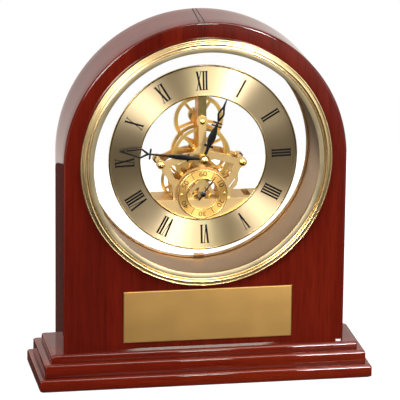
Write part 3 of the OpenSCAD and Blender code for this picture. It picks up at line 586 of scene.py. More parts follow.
def take(bm: BMesh, mesh: bpy.types.Mesh) -> None:
    """Adds a loose mesh to a bmesh and deletes it."""
    bm.from_mesh(mesh)
    bpy.data.meshes.remove(mesh)


def take_upright(bm: BMesh, curve: bpy.types.Curve, depth: float, centre: Point = CENTRE,
                 turn: Matrix = Matrix.Identity(4)) -> None:
    """Turns a flat curve's mesh to face the front, adds it to a bmesh and deletes the curve.

    Args:
        bm: the mesh to add to.
        curve: the curve or text, in millimetres, up along its own Y.
        depth: the depth of its middle.
        centre: where its origin goes on the dial.
        turn: a move in the curve's own plane, made first.
    """
    holder = add_object(curve.name, curve)
    flat = bpy.data.meshes.new_from_object(holder)
    place = Matrix.Translation((centre[0], FRONT_Y + depth, DIAL_Z + centre[1]))
    flat.transform(Matrix.Scale(MM, 4) @ place @ Matrix.Rotation(math.radians(90), 4, "X") @ turn)
    take(bm, flat)
    bpy.data.objects.remove(holder)
    bpy.data.curves.remove(curve)


def rounded(points: Sequence[Point], radius: float, steps: int = 4) -> list[Point]:
    """Rounds the corners of a closed outline.

    Args:
        points: the corners.
        radius: the fillet, less where an edge is short.
        steps: how many pieces each fillet has.

    Returns:
        The points of the rounded outline.
    """
    made: list[Point] = []
    total, longest = len(points), 0.45  # a fillet takes at most this share of an edge
    for i, corner in enumerate(points):
        here = Vector(corner)
        before, after = Vector(points[i - 1]) - here, Vector(points[(i + 1) % total]) - here
        cut = min(radius, before.length * longest, after.length * longest)
        start, end = here + before.normalized() * cut, here + after.normalized() * cut
        for k in range(steps + 1):
            t = k / steps
            p = start.lerp(here, t).lerp(here.lerp(end, t), t)
            made.append((p.x, p.y))
    return made


def arch_loop(radius: float, inset: float, foot: float, depth: float) -> Loop:
    """Walks round an arch: up the right side, over the top, down the left side and along the foot.

    Args:
        radius: the arch's radius, which is half its width.
        inset: how far the line lies inside the full outline. The foot isn't inset.
        foot: the foot's height from the hands' axis, below nought.
        depth: the loop's depth.

    Returns:
        The loop's points, always as many.
    """
    r = radius - inset
    side, over, along = 18, 144, 30
    path = [(r, foot * (1 - i / side)) for i in range(side)]
    path += [polar(r, 180 * i / over) for i in range(over + 1)]
    path += [(-r, foot * (i + 1) / side) for i in range(side)]
    path += [(-r + 2 * r * (i + 1) / along, foot) for i in range(along - 1)]
    return [at(x, z, depth) for x, z in path]


def spun(outline: Sequence[Point], angle: float, centre: Point = CENTRE) -> list[Point]:
    """Turns an outline about nought by an angle in radians, and moves it to a centre."""
    c, s = math.cos(angle), math.sin(angle)
    return [(centre[0] + x * c - y * s, centre[1] + x * s + y * c) for x, y in outline]


def prism(bm: BMesh, outline: Sequence[Point], front: float, back: float) -> None:
    """Adds a straight-sided plate: an outline seen from the front, between two depths."""
    loft(bm, [[at(x, z, front) for x, z in outline], [at(x, z, back) for x, z in outline]], False)


def cut_plate(bm: BMesh, outlines: Sequence[Sequence[Point]], front: float, back: float,
              bevel: float = 0.0) -> None:
    """Adds a plate with holes, made from a filled flat curve.

    Args:
        bm: the mesh to add to.
        outlines: the outer line first, then the holes.
        front: the depth of its front face.
        back: the depth of its back face.
        bevel: how much its edges are rounded.
    """
    curve = bpy.data.curves.new("cut_plate", "CURVE")
    curve.dimensions, curve.fill_mode = "2D", "BOTH"
    curve.extrude = (back - front) / 2 - bevel
    curve.bevel_depth, curve.bevel_resolution, curve.offset = bevel, 1, -bevel
    for outline in outlines:
        spline = curve.splines.new("POLY")
        spline.points.add(len(outline) - 1)
        for point, (x, z) in zip(spline.points, outline):
            point.co = (x, z, 0, 1)
        spline.use_cyclic_u = True
    take_upright(bm, curve, (front + back) / 2)


def refined_copy(node: str, name: str, material: Material, bevel: float) -> Piece:
    """Copies a CAD node, merges its loose triangles and rounds its sharp edges.

    Args:
        node: the CAD node.
        name: the new piece's name.
        material: its material.
        bevel: the rounding in millimetres.

    Returns:
        The new object.
    """
    bm = bmesh.new()
    bm.from_mesh(frame["nodes"][node].data)
    merge_distance, flat_angle, corner_angle = 2e-6, math.radians(0.4), math.radians(40)
    bmesh.ops.remove_doubles(bm, verts=bm.verts, dist=merge_distance)
    bmesh.ops.dissolve_limit(bm, angle_limit=flat_angle, verts=bm.verts, edges=bm.edges)
    bends = [e for e in bm.edges if len(e.link_faces) == 2 and e.calc_face_angle(0) > corner_angle]
    if bevel > 0:
        bmesh.ops.bevel(bm, geom=bends, offset=bevel * MM, segments=2, affect="EDGES", profile=0.5,
                        clamp_overlap=True)
    return mesh_object(name, bm, material, 14)


def show(piece: Piece, body: str, slot: str, *nodes: str) -> None:
    """Ties a finished piece to its body and hides the CAD nodes that it stands for."""
    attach(piece, body)
    if nodes:
        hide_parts(*nodes)
    LOG.info("%s rides on %s, %d faces", piece.name, body, len(piece.data.polygons))


def dress(node: str, material: Material) -> None:
    """Gives a CAD node that is shown as it is its finished material."""
    slots = frame["nodes"][node].data.materials
    slots.clear()
    slots.append(material)
    LOG.info("%s is shown with %s", node, material.name)


# ---------------------------------------------------------------------------------------------
# Geometry Nodes
# ---------------------------------------------------------------------------------------------


class Tree(Nodes):
    """A Geometry Nodes tree under construction, with named inputs."""

    def __init__(self, name: str, inputs: Sequence[tuple[str, str]]) -> None:
        """Makes the tree's sockets.

        Args:
            name: the tree's name.
            inputs: pairs of a name and a socket type, such as ("Teeth", "NodeSocketInt").
        """
        super().__init__(bpy.data.node_groups.new(name, "GeometryNodeTree"))
        sockets = self.tree.interface
        sockets.new_socket("Geometry", in_out="INPUT", socket_type="NodeSocketGeometry")
        self.ids = {label: sockets.new_socket(label, in_out="INPUT", socket_type=kind).identifier
                    for label, kind in inputs}
        sockets.new_socket("Geometry", in_out="OUTPUT", socket_type="NodeSocketGeometry")
        self.source = self.node("NodeGroupInput")
        self.sink = self.node("NodeGroupOutput")

    def geo(self, kind: str, inputs: Optional[dict] = None, **settings: object) -> Socket:
        """Adds a geometry node and gives its first output."""
        return self.node("GeometryNode" + kind, inputs, **settings).outputs[0]

    def given(self, label: str) -> Socket:
        """Gives one of the tree's inputs."""
        return self.source.outputs[label]

    def joined(self, *parts: Socket) -> Socket:
        """Joins several geometries into one."""
        made = self.node("GeometryNodeJoinGeometry")
        for part in parts:
            self.tree.links.new(part, made.inputs[0])
        return made.outputs[0]

    def choice(self, switch: Socket, off: object, on: object) -> Socket:
        """Gives one of two values by a switch that is 0 or 1."""
        return self.node("Mix", {0: switch, 2: off, 3: on}, data_type="FLOAT").outputs[0]

    def on_circle(self, radius: Socket, angle: Socket) -> Socket:
        """Gives the flat point at a radius and an angle in radians."""
        across = self.calc("MULTIPLY", radius, self.calc("COSINE", angle))
        up = self.calc("MULTIPLY", radius, self.calc("SINE", angle))
        return self.xyz(X=across, Y=up)

    def close(self, geometry: Socket) -> None:
        """Ends the tree in Realize Instances and Set Material."""
        real = self.geo("RealizeInstances", {0: geometry})
        done = self.geo("SetMaterial", {"Geometry": real, "Material": self.given("Material")})
        self.tree.links.new(done, self.sink.inputs["Geometry"])

    def run(self, values: dict[str, object], points: Sequence[Vector] = ()) -> bpy.types.Mesh:
        """Evaluates the tree on a mesh of loose points and returns its plain result.

        Args:
            values: input name to value.
            points: the points that the tree is given.

        Returns:
            A plain mesh that no modifier holds.
        """
        cloud = bpy.data.meshes.new("tree_holder")
        cloud.from_pydata([tuple(p) for p in points], [], [])
        holder = add_object("tree_holder", cloud)
        modifier = holder.modifiers.new("tree", "NODES")
        modifier.node_group = self.tree
        for label, value in values.items():
            modifier[self.ids[label]] = value
        graph = bpy.context.evaluated_depsgraph_get()
        graph.update()
        made = bpy.data.meshes.new_from_object(holder.evaluated_get(graph))
        holder.modifiers.remove(modifier)
        bpy.data.objects.remove(holder)
        return made


class WheelTree(Tree):
    """Draws a toothed wheel with spokes by rule: a tooth outline, windows, a fill and a thickness."""

    ARC = 12            # points along each curved side of a window
    ROOT_HALF = 0.31    # half a tooth's width at its root, as a share of the pitch
    TIP_HALF = 0.12     # the same at its tip

    def __init__(self) -> None:
        """Builds the tree."""
        number, size = "NodeSocketInt", "NodeSocketFloat"
        super().__init__("spoked_wheel", [
            ("Teeth", number), ("Root Radius", size), ("Tip Radius", size), ("Phase", size),
            ("Rim Radius", size), ("Hub Radius", size), ("Spokes", number), ("Spoke Width", size),
            ("Turn", size), ("Thickness", size), ("Centre", "NodeSocketVector"),
            ("Material", "NodeSocketMaterial")])
        lines = self.joined(self.windows(), self.tooth_line())
        face = self.geo("FillCurve", {0: lines}, mode="TRIANGLES")
        thick = self.geo("ExtrudeMesh", {"Mesh": face, "Offset Scale": self.given("Thickness"),
                                                      "Individual": False}, mode="FACES")
        under = self.geo("FlipFaces", {0: face})
        both = self.joined(thick, under)
        merged = self.geo("MergeByDistance", {"Geometry": both, "Distance": 1e-6})
        placed = self.geo("Transform", {"Geometry": merged,
                           "Translation": self.given("Centre"), "Rotation": (math.radians(90), 0, 0)})
        self.close(placed)

    def bent(self, count: object, radius: Socket, angle: Socket) -> Socket:
        """Gives a closed curve of so many points, each moved to its own radius and angle."""
        ring = self.geo("MeshCircle", {"Vertices": count})
        moved = self.geo("SetPosition", {0: ring, "Position": self.on_circle(radius, angle)})
        return self.geo("MeshToCurve", {0: moved})

    def tooth_line(self) -> Socket:
        """Draws the closed outline of all the teeth, four points to a tooth."""
        teeth, corners = self.given("Teeth"), 4.0
        index = self.geo("InputIndex")
        tooth = self.calc("FLOOR", self.calc("DIVIDE", self.calc("ADD", index, 0.5), corners))
        corner = self.calc("SUBTRACT", index, self.calc("MULTIPLY", tooth, corners))
        corner = self.calc("SUBTRACT", corner, 1.5)
        tip = self.calc("LESS_THAN", self.calc("ABSOLUTE", corner), 1.0)
        half = self.choice(tip, self.ROOT_HALF, self.TIP_HALF)
        place = self.calc("ADD", tooth, self.calc("MULTIPLY", half, self.calc("SIGN", corner)))
        step = self.calc("DIVIDE", math.tau, teeth)
        angle = self.calc("ADD", self.given("Phase"), self.calc("MULTIPLY", place, step))
        radius = self.choice(tip, self.given("Root Radius"), self.given("Tip Radius"))
        return self.bent(self.calc("MULTIPLY", teeth, corners), radius, angle)

    def windows(self) -> Socket:
        """Draws the openings between the spokes, one instance each."""
        index = self.geo("InputIndex")
        inner = self.calc("GREATER_THAN", index, self.ARC - 0.5)
        along = self.calc("SUBTRACT", index, self.calc("MULTIPLY", inner, float(self.ARC)))
        along = self.calc("DIVIDE", along, self.ARC - 1.0)
        radius = self.choice(inner, self.given("Rim Radius"), self.given("Hub Radius"))
        half_spoke = self.calc("MULTIPLY", self.given("Spoke Width"), 0.5)
        half = self.calc("ARCSINE", self.calc("DIVIDE", half_spoke, radius))
        step = self.calc("DIVIDE", math.tau, self.calc("MAXIMUM", self.given("Spokes"), 1.0))
        way = self.choice(inner, along, self.calc("SUBTRACT", 1.0, along))
        room = self.calc("SUBTRACT", step, self.calc("MULTIPLY", half, 2.0))
        shape = self.bent(2 * self.ARC, radius, self.calc("ADD", half, self.calc("MULTIPLY", way, room)))
        places = self.geo("MeshLine", {"Count": self.given("Spokes"), "Offset": (0, 0, 0)})
        number = self.geo("InputIndex")
        turn = self.calc("ADD", self.given("Turn"), self.calc("MULTIPLY", number, step))
        spread = self.geo("InstanceOnPoints", {"Points": places, "Instance": shape,
                                                            "Rotation": self.xyz(Z=turn)})
        return self.geo("RealizeInstances", {0: spread})


class ScrewTree(Tree):
    """Sets a domed, slotted screw head on each point that it is given."""

    def __init__(self) -> None:
        """Builds the tree."""
        size = "NodeSocketFloat"
        super().__init__("slotted_screws", [
            ("Head Radius", size), ("Head Height", size), ("Slot Width", size), ("Slot Depth", size),
            ("Facing", size), ("Seed", "NodeSocketInt"), ("Material", "NodeSocketMaterial")])
        radius, height, deep = (self.given(label) for label in ("Head Radius", "Head Height", "Slot Depth"))
        ball = self.geo("MeshUVSphere", {"Segments": 32, "Rings": 12, "Radius": radius})
        squash = self.xyz(X=1.0, Y=1.0, Z=self.calc("DIVIDE", height, radius))
        dome = self.geo("Transform", {"Geometry": ball, "Scale": squash})
        wide = self.calc("MULTIPLY", radius, 4.0)
        below = self.block(self.xyz(X=wide, Y=wide, Z=wide), self.calc("MULTIPLY", radius, -2.0))
        cutter = self.xyz(X=wide, Y=self.given("Slot Width"), Z=self.calc("MULTIPLY", deep, 2.0))
        slot = self.block(cutter, height)
        head = self.node("GeometryNodeMeshBoolean", {"Mesh 1": dome}, operation="DIFFERENCE",
                         solver="EXACT")
        for part in (below, slot):
            self.tree.links.new(part, head.inputs["Mesh 2"])
        turn = self.node("FunctionNodeRandomValue", {"Max": math.pi, "Seed": self.given("Seed")},
                         data_type="FLOAT")
        spin = self.node("FunctionNodeRotateRotation", {0: self.xyz(X=self.given("Facing")),
                         1: self.xyz(Z=turn.outputs[1])}, rotation_space="LOCAL").outputs[0]
        heads = self.geo("InstanceOnPoints", {"Points": self.given("Geometry"),
                          "Instance": head.outputs[0], "Rotation": spin})
        self.close(heads)

    def block(self, size: Socket, rise: Socket) -> Socket:
        """Gives a block of a size, its middle raised along Z."""
        cube = self.geo("MeshCube", {"Size": size})
        return self.geo("Transform", {"Geometry": cube, "Translation": self.xyz(Z=rise)})


@dataclass
class Screws:
    """Sets of slotted screws."""

    tree: ScrewTree
    seed: int = 3
    slot_width: float = 0.42
    slot_depth: float = 0.4

    def build(self, name: str, places: Sequence[Vector], head: float, rise: float, to_front: bool,
              material: Material) -> Piece:
        """Makes one set of heads.

        Args:
            name: the new piece's name.
            places: the points that the heads sit on.
            head: the head's radius.
            rise: the head's height.
            to_front: True where they face the front of the clock.
            material: their material.

        Returns:
            One object for the whole set.
        """
        lean = math.radians(90 if to_front else -90)
        bm = bmesh.new()
        take(bm, self.tree.run({"Head Radius": head * MM, "Head Height": rise * MM, "Facing": lean,
                                "Slot Width": self.slot_width * MM, "Slot Depth": self.slot_depth * MM,
                                "Seed": self.seed, "Material": material}, places))
        return mesh_object(name, bm, material)


# ---------------------------------------------------------------------------------------------
# Base and case
# ---------------------------------------------------------------------------------------------


@dataclass
class Base:
    """The three boards of the base, the felt and the screws under them."""

    finishes: Finishes
    round_lower: float = 1.9
    round_middle: float = 1.6
    round_upper: float = 1.8
    corner: float = 0.9

    def loop(self, half: Vector, inset: float, height: float) -> Loop:
        """Gives a level rectangle with slightly rounded corners, inset from the full board."""
        x, y = half.x / MM - inset, half.y / MM - inset
        radius = max(0.15, self.corner - inset * 0.3)
        path = []
        for cx, cy, start in ((x, y, 0), (-x, y, 90), (-x, -y, 180), (x, -y, 270)):
            sx, sy = math.copysign(radius, cx), math.copysign(radius, cy)
            path += [polar(radius, start + 90 * i / 5, (cx - sx, cy - sy)) for i in range(6)]
        return [Vector((px, py, height)) * MM for px, py in path]

    def board(self, name: str, node: str, radius: float, lift: float) -> Piece:
        """Builds one board with a rounded upper edge and a small chamfer at its foot.

        Args:
            name: the new piece's name.
            node: the CAD node that gives its size.
            radius: the rounding of its upper edge.
            lift: how far its underside stays above the node's.

        Returns:
            The board.
        """
        low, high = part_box(node)
        half = (high - low) / 2
        bottom, top = low.z / MM + lift, high.z / MM
        profile = [(0.25, bottom), (0.0, bottom + 0.25)]
        profile += [(radius * (1 - c), top - radius * (1 - s)) for c, s in quarter(9)]
        profile.append((radius + 1.2, top))
        loops = [self.loop(half, inset, height) for inset, height in profile]
        return lofted_piece(name, loops, False, self.finishes.base, 50)

    def build(self) -> None:
        """Makes every piece of the base."""
        for name, node, radius, lift in (("lower_board", "base_lower", self.round_lower, 0.2),
                                         ("middle_board", "base_middle", self.round_middle, 0.0),
                                         ("upper_board", "base_upper", self.round_upper, 0.0)):
            show(self.board(name, node, radius, lift), "case", "base_lacquer", node)
        dress("felt_sheet", self.finishes.felt)
        dress("base_screws", self.finishes.steel)


@dataclass
class Case:
    """The arched case: two boards with round windows, the band between them and the blank plate."""

    finishes: Finishes
    radius: float = 84.35
    window: float = 68.9
    edge: float = 1.3
    band_wall: float = 8.0

    def slab(self, name: str, node: str, window: float, soft_front: bool, soft_back: bool,
             material: Material) -> Piece:
        """Builds one arched layer of the case.

        Args:
            name: the new piece's name.
            node: the CAD node that gives its depths and its foot.
            window: the radius of its round opening.
            soft_front: True rounds its front edge.
            soft_back: True rounds its back edge.
            material: its material.

        Returns:
            The layer.
        """
        low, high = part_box(node)
        front, back = low.y / MM - FRONT_Y, high.y / MM - FRONT_Y
        foot = low.z / MM - DIAL_Z
        steps = [math.radians(15 * i) for i in range(7)]
        turn = [(self.edge * (1 - math.sin(a)), self.edge * (1 - math.cos(a))) for a in steps]
        profile = [(i, front + d) for i, d in turn] if soft_front else [(0.0, front)]
        profile += [(i, back - d) for i, d in reversed(turn)] if soft_back else [(0.0, back)]
        loops = [arch_loop(self.radius, inset, foot, depth) for inset, depth in profile]
        rim = [(p.x / MM, p.z / MM - DIAL_Z) for p in loops[0]]
        for depth in (back, front):
            loops.append([at(*polar(window, math.degrees(math.atan2(z, x))), depth) for x, z in rim])
        return lofted_piece(name, loops, True, material)

    def seams(self) -> Piece:
        """Builds the two fine dark joint lines that cross the top of the arch."""
        bm = bmesh.new()
        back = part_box("case_back")[1].y / MM - FRONT_Y
        steps = 24
        for start, end, half in ((-4.5, -2.8, 0.42), (-1.6, -0.9, 0.26)):
            loops = []
            for i in range(steps + 1):
                depth = 1.4 + (back - 2.8) * i / steps
                x = start + (end - start) * i / steps + 0.12 * math.sin(2.3 * i)
                z = math.sqrt(self.radius ** 2 - x * x)
                wide = half * (1 + 0.2 * math.sin(1.7 * i + 1))
                loops.append([at(x - wide, z - 0.3, depth), at(x + wide, z - 0.3, depth),
                              at(x + wide, z + 0.004, depth), at(x - wide, z + 0.004, depth)])
            loft(bm, loops, False)
        return mesh_object("crown_seams", bm, self.finishes.seam)

    def plate(self) -> Piece:
        """Builds the blank engraving plate with its fine bevel."""
        low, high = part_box("name_plate")
        x0, x1 = low.x / MM, high.x / MM
        z0, z1 = low.z / MM - DIAL_Z, high.z / MM - DIAL_Z
        front = low.y / MM - FRONT_Y
        profile = ((0.0, 0.0), (0.0, front + 0.42), (0.12, front + 0.2), (0.5, front + 0.02), (0.75, front))
        loops = [[at(x, z, depth) for x, z in ((x0 + inset, z0 + inset), (x1 - inset, z0 + inset),
                                               (x1 - inset, z1 - inset), (x0 + inset, z1 - inset))]
                 for inset, depth in profile]
        return lofted_piece("engraving_plate", loops, False, self.finishes.plate, 20)

    def build(self) -> None:
        """Makes every piece of the case."""
        made = self.finishes
        for name, node, window, soft_front, soft_back in (
                ("front_board", "case_front", self.window, True, False),
                ("arch_band", "case_band", self.radius - self.band_wall, False, False),
                ("back_board", "case_back", self.window, False, True)):
            board = self.slab(name, node, window, soft_front, soft_back, made.case)
            show(board, "case", "case_lacquer", node)
        show(self.seams(), "case", "case_lacquer")
        show(self.plate(), "case", "plate_brass", "name_plate")
        dress("corner_blocks", made.bare)


# ---------------------------------------------------------------------------------------------
# Dial insert
# ---------------------------------------------------------------------------------------------


@dataclass
class Insert:
    """Bezel, drum, glasses and the retaining ring at the back."""

    finishes: Finishes
    screws: Screws
    lip: float = 67.07
    rim: float = 74.9
    drum_in: float = 67.6
    drum_out: float = 68.4
    depth: float = 31.8
    rear_lip: float = 66.24
    tab: Point = (-1.65, 4.95)
    ring_screw_radius: float = 72.6

    def bezel(self) -> Piece:
        """Builds the polished outer part of the bezel: groove, bead and thin rim."""
        def bead(middle: float, size: float, depth: float) -> list[Point]:
            """Gives a half-round bead's points."""
            half_round = [polar(1, a) for a in range(0, 181, 12)]
            return [(middle - size * c, depth - size * s) for c, s in half_round]

        profile = [(self.lip + 2.13, 0.0), (self.lip + 2.13, -2.95)]
        profile += [(69.9, -3.05), (70.05, -3.75), (70.35, -3.95), (70.62, -3.75), (70.75, -3.15),
                    (70.95, -3.1)]
        profile += bead(72.15, 0.98, -3.35)
        profile += [(73.16, -2.7), (73.45, -2.6), (73.85, -2.65)]
        profile += bead(74.38, 0.5, -2.9)
        profile += [(74.88, -0.3), (74.6, 0.0)]
        return turned_piece("bezel_ring", [profile], self.finishes.bezel, CRISP, count=288)

    def bevel(self) -> Piece:
        """Builds the satin inner bevel of the bezel, in front of the glass."""
        profile = [(self.lip, -2.35), (self.lip, -3.38), (self.lip + 0.1, -3.5), (self.lip + 2.45, -3.9),
                   (self.lip + 2.72, -3.86), (69.92, -3.6), (69.92, -2.35)]
        return turned_piece("bezel_bevel", [profile], self.finishes.bevel, CRISP, count=288)

    def drum(self) -> Piece:
        """Builds the drum with its front flange, rear lip and the small tab at its foot."""
        end = self.depth
        front, flange, wall = 0.02, 71.5, 0.8
        profile = [(self.drum_in, front), (flange, front), (flange, wall), (self.drum_out, wall),
                   (self.drum_out, end), (self.rear_lip, end), (self.rear_lip, end - 0.6),
                   (self.rear_lip + 0.2, end - wall), (self.drum_in - 0.5, end - wall),
                   (self.drum_in, end - 1.3)]
        bm = bmesh.new()
        lathe(bm, profile, count=256)
        left, right = self.tab
        foot = -math.sqrt(self.rear_lip ** 2 - 9)
        tab = [(left, foot - 0.9), (right, foot - 0.9), (right - 0.4, foot + 1.2), (left + 0.4, foot + 1.2)]
        prism(bm, rounded(tab, 0.5), end - 0.8, end)
        return mesh_object("drum_wall", bm, self.finishes.drum, 35)

    def pane(self, name: str, radius: float, front: float, back: float) -> Piece:
        """Builds a round pane with arrised edges."""
        return turned_piece(name, [softened(radius, front, back, 0.2)], self.finishes.glass, 20, ring=False)

    def rear_ring(self) -> Piece:
        """Builds the retaining ring that holds the rear glass."""
        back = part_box("rear_ring")[1].y / MM - FRONT_Y
        outer, inner, step, seat = 74.8, 68.4, 70.2, 34.32
        flange = rounded([(inner, seat), (inner, back), (outer, back), (outer, back - 1.2),
                          (step, back - 1.2), (step, seat)], 0.3, 3)
        return turned_piece("retaining_ring", [flange], self.finishes.bezel, CRISP, count=256)

    def build(self) -> None:
        """Makes every piece of the insert."""
        made = self.finishes
        for piece, slot, node in (
                (self.bezel(), "bezel_brass", "bezel"),
                (self.bevel(), "bezel_brass", "bezel"),
                (self.drum(), "drum_brass", "drum"),
                (self.pane("front_pane", 69.0, -2.4 + 0.02, -0.4), "glass", "front_glass"),
                (refined_copy("rear_glass", "rear_pane", made.glass, 0.0), "glass", "rear_glass"),
                (self.rear_ring(), "bezel_brass", "rear_ring")):
            show(piece, "case", slot, node)
        dress("glass_gasket", made.rubber)
        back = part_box("rear_ring")[1].y / MM - FRONT_Y
        places = [at(*polar(self.ring_screw_radius, a), back - 0.02) for a in range(45, 360, 90)]
        show(self.screws.build("retaining_screws", places, 1.9, 0.75, False, made.polished), "case",
             "screw_brass", "rear_ring_screws")


# ---------------------------------------------------------------------------------------------
# Dial
# ---------------------------------------------------------------------------------------------


class Stroke(Enum):
    """The letters that Roman numerals are made of, with their widths in millimetres."""

    I = 1.72
    V = 3.7
    X = 3.9


@dataclass
class ChapterRing:
    """The brushed ring with its polished rims and printed Roman numerals."""

    finishes: Finishes
    outer: float = 56.4
    inner: float = 37.4
    face: float = DIAL_FACE
    thick: float = 1.2
    rim: float = 0.9
    rise: float = 0.4
    foot: float = 41.1
    head: float = 52.6
    heavy: float = 1.12
    fine: float = 0.4
    lean: float = 1.7
    numerals: Sequence[str] = ("XII", "I", "II", "III", "IIII", "V", "VI", "VII", "VIII", "IX", "X", "XI")

    def ring(self) -> Piece:
        """Builds the flat brushed part."""
        profile = flat_ring(self.inner + 0.3, self.outer - 0.3, self.face, self.thick)
        return turned_piece("dial_ring", [profile], self.finishes.dial, count=256)

    def rims(self) -> Piece:
        """Builds the two raised rims."""
        top, bottom = self.face - self.rise, self.face + self.thick
        profiles = [raised_rim(start, start + self.rim, top, bottom, 0.22, 3)
                    for start in (self.inner, self.outer - self.rim)]
        return turned_piece("dial_rims", profiles, self.finishes.rim, CRISP, count=256)

    def letter(self, stroke: Stroke) -> list[list[Point]]:
        """Gives one letter's strokes, standing on the line, with its left edge at nought."""
        tall, width, thin = self.head - self.foot, stroke.value, self.fine
        middle = width / 2

        def leaning(x0: float, x1: float, thick: float) -> list[Point]:
            """Gives a stroke from the line to the top, which may lean."""
            half = thick / 2
            return [(x0 - half, 0.0), (x0 + half, 0.0), (x1 + half, tall), (x1 - half, tall)]

        def serif(x: float, height: float, reach: float) -> list[Point]:
            """Gives a serif that reaches as far to both sides."""
            return [(x - reach, height), (x + reach, height), (x + reach, height + thin),
                    (x - reach, height + thin)]

        if stroke is Stroke.I:
            return [leaning(middle, middle, self.heavy), serif(middle, 0.0, 0.92),
                    serif(middle, tall - thin, 0.92)]
        if stroke is Stroke.V:
            return [leaning(middle, 0.72, self.heavy), leaning(middle, width - 0.62, thin + 0.04),
                    serif(0.75, tall - thin, 0.85), serif(width - 0.7, tall - thin, 0.7)]
        return [leaning(width - 0.85, 0.85, self.heavy + 0.05), leaning(0.7, width - 0.7, thin + 0.04),
                serif(0.8, tall - thin, 0.85), serif(width - 0.7, tall - thin, 0.75),
                serif(0.7, 0.0, 0.75), serif(width - 0.85, 0.0, 0.85)]

    def print_numerals(self) -> Piece:
        """Prints the twelve numerals, their feet towards the centre."""
        bm = bmesh.new()
        for hour, text in enumerate(self.numerals):
            strokes = [Stroke[c] for c in text]
            start = -sum(s.value for s in strokes) / 2
            turn = math.radians(self.lean - 30 * hour)
            for stroke in strokes:
                for layer, outline in enumerate(self.letter(stroke)):
                    placed = spun([(start + x, self.foot + z) for x, z in outline], turn)
                    prism(bm, placed, self.face - 0.03 - 0.006 * layer, self.face + 0.01)
                start += stroke.value
        return mesh_object("dial_numerals", bm, self.finishes.ink)

    def build(self) -> None:
        """Makes the ring, its rims and its numerals."""
        show(self.ring(), "case", "dial_brass", "chapter_ring")
        show(self.rims(), "case", "dial_brass", "chapter_ring")
        show(self.print_numerals(), "case", "dial_brass")


@dataclass
class SecondsDial:
    """The small dial with its posts, screws and figures."""

    finishes: Finishes
    screws: Screws
    centre: Point = SECONDS
    outer: float = 14.9
    inner: float = 9.3
    face: float = DIAL_FACE
    thick: float = 0.6
    rim: float = 0.6
    rise: float = 0.4
    seat: float = 12.8
    figures: Sequence[int] = (60, 10, 20, 30, 40, 50)

    def ring(self) -> Piece:
        """Builds the brushed ring."""
        profile = flat_ring(self.inner + 0.2, self.outer - 0.2, self.face, self.thick)
        return turned_piece("seconds_ring", [profile], self.finishes.seconds, centre=self.centre,
                            count=128)

    def rims(self) -> Piece:
        """Builds the two raised rims."""
        top, bottom = self.face - self.rise, self.face + self.thick
        profiles = [raised_rim(start, start + self.rim, top, bottom, 0.18, 2)
                    for start in (self.inner, self.outer - self.rim)]
        return turned_piece("seconds_rims", profiles, self.finishes.polished, CRISP, centre=self.centre,
                            count=128)

    def lettering(self) -> Piece:
        """Prints the figures and the short marks between them."""
        bm = bmesh.new()
        middle = (self.outer + self.inner) / 2
        raised = Matrix.Translation((0, middle, 0)) @ Matrix.Diagonal((1.22, 1.0, 1.0, 1.0))
        for index, figure in enumerate(self.figures):
            text = bpy.data.curves.new("figure", "FONT")
            text.body, text.size, text.align_x, text.align_y = str(figure), 4.1, "CENTER", "CENTER"
            text.extrude, text.space_character, text.offset = 0.02, 1.0, 0.0
            spin = Matrix.Rotation(math.radians(-60 * index), 4, "Z") @ raised
            take_upright(bm, text, self.face - 0.015, self.centre, spin)
        mark = [(middle - 2.0, -0.18), (middle + 2.0, -0.18), (middle + 2.0, 0.18), (middle - 2.0, 0.18)]
        for clock_angle in (30, 150, 210, 330):
            placed = spun(mark, math.radians(90 - clock_angle), self.centre)
            prism(bm, placed, self.face - 0.035, self.face + 0.01)
        return mesh_object("seconds_figures", bm, self.finishes.ink)

    def build(self) -> None:
        """Makes the dial and what holds it."""
        made = self.finishes
        show(self.ring(), "case", "seconds_brass", "seconds_dial")
        show(self.rims(), "case", "seconds_brass", "seconds_dial")
        show(self.lettering(), "case", "seconds_brass")
        places = [at(side * self.seat, self.centre[1], self.face + 0.02) for side in (-1, 1)]
        show(self.screws.build("seconds_screws", places, 0.95, 0.5, True, made.polished), "case",
             "screw_brass", "dial_screws")
        bm = bmesh.new()
        for side in (-1, 1):
            lathe(bm, [(0.0, 11.3), (1.0, 11.3), (1.2, 11.5), (1.2, 13.8), (1.0, 14.0), (0.0, 14.0)],
                  (side * self.seat, self.centre[1]), 32, False)
        show(mesh_object("seconds_posts", bm, made.polished), "case", "polished_brass", "dial_posts")


# ---------------------------------------------------------------------------------------------
# Movement
# ---------------------------------------------------------------------------------------------


@dataclass(frozen=True)
class Gear:
    """One toothed wheel or pinion, between two depths.

    The phase is the angle of one tooth, the rim and the spoke are widths, the hub is a radius, and the
    turn is the angle of the first spoke. A gear without spokes is solid.
    """

    centre: Point
    teeth: int
    module: float
    phase: float
    front: float
    back: float
    rim: float = 0.0
    hub: float = 0.0
    spokes: int = 0
    spoke: float = 1.0
    turn: float = 0.0


@dataclass(frozen=True)
class Rod:
    """One turned length of an arbor, with softened ends."""

    centre: Point
    radius: float
    front: float
    back: float


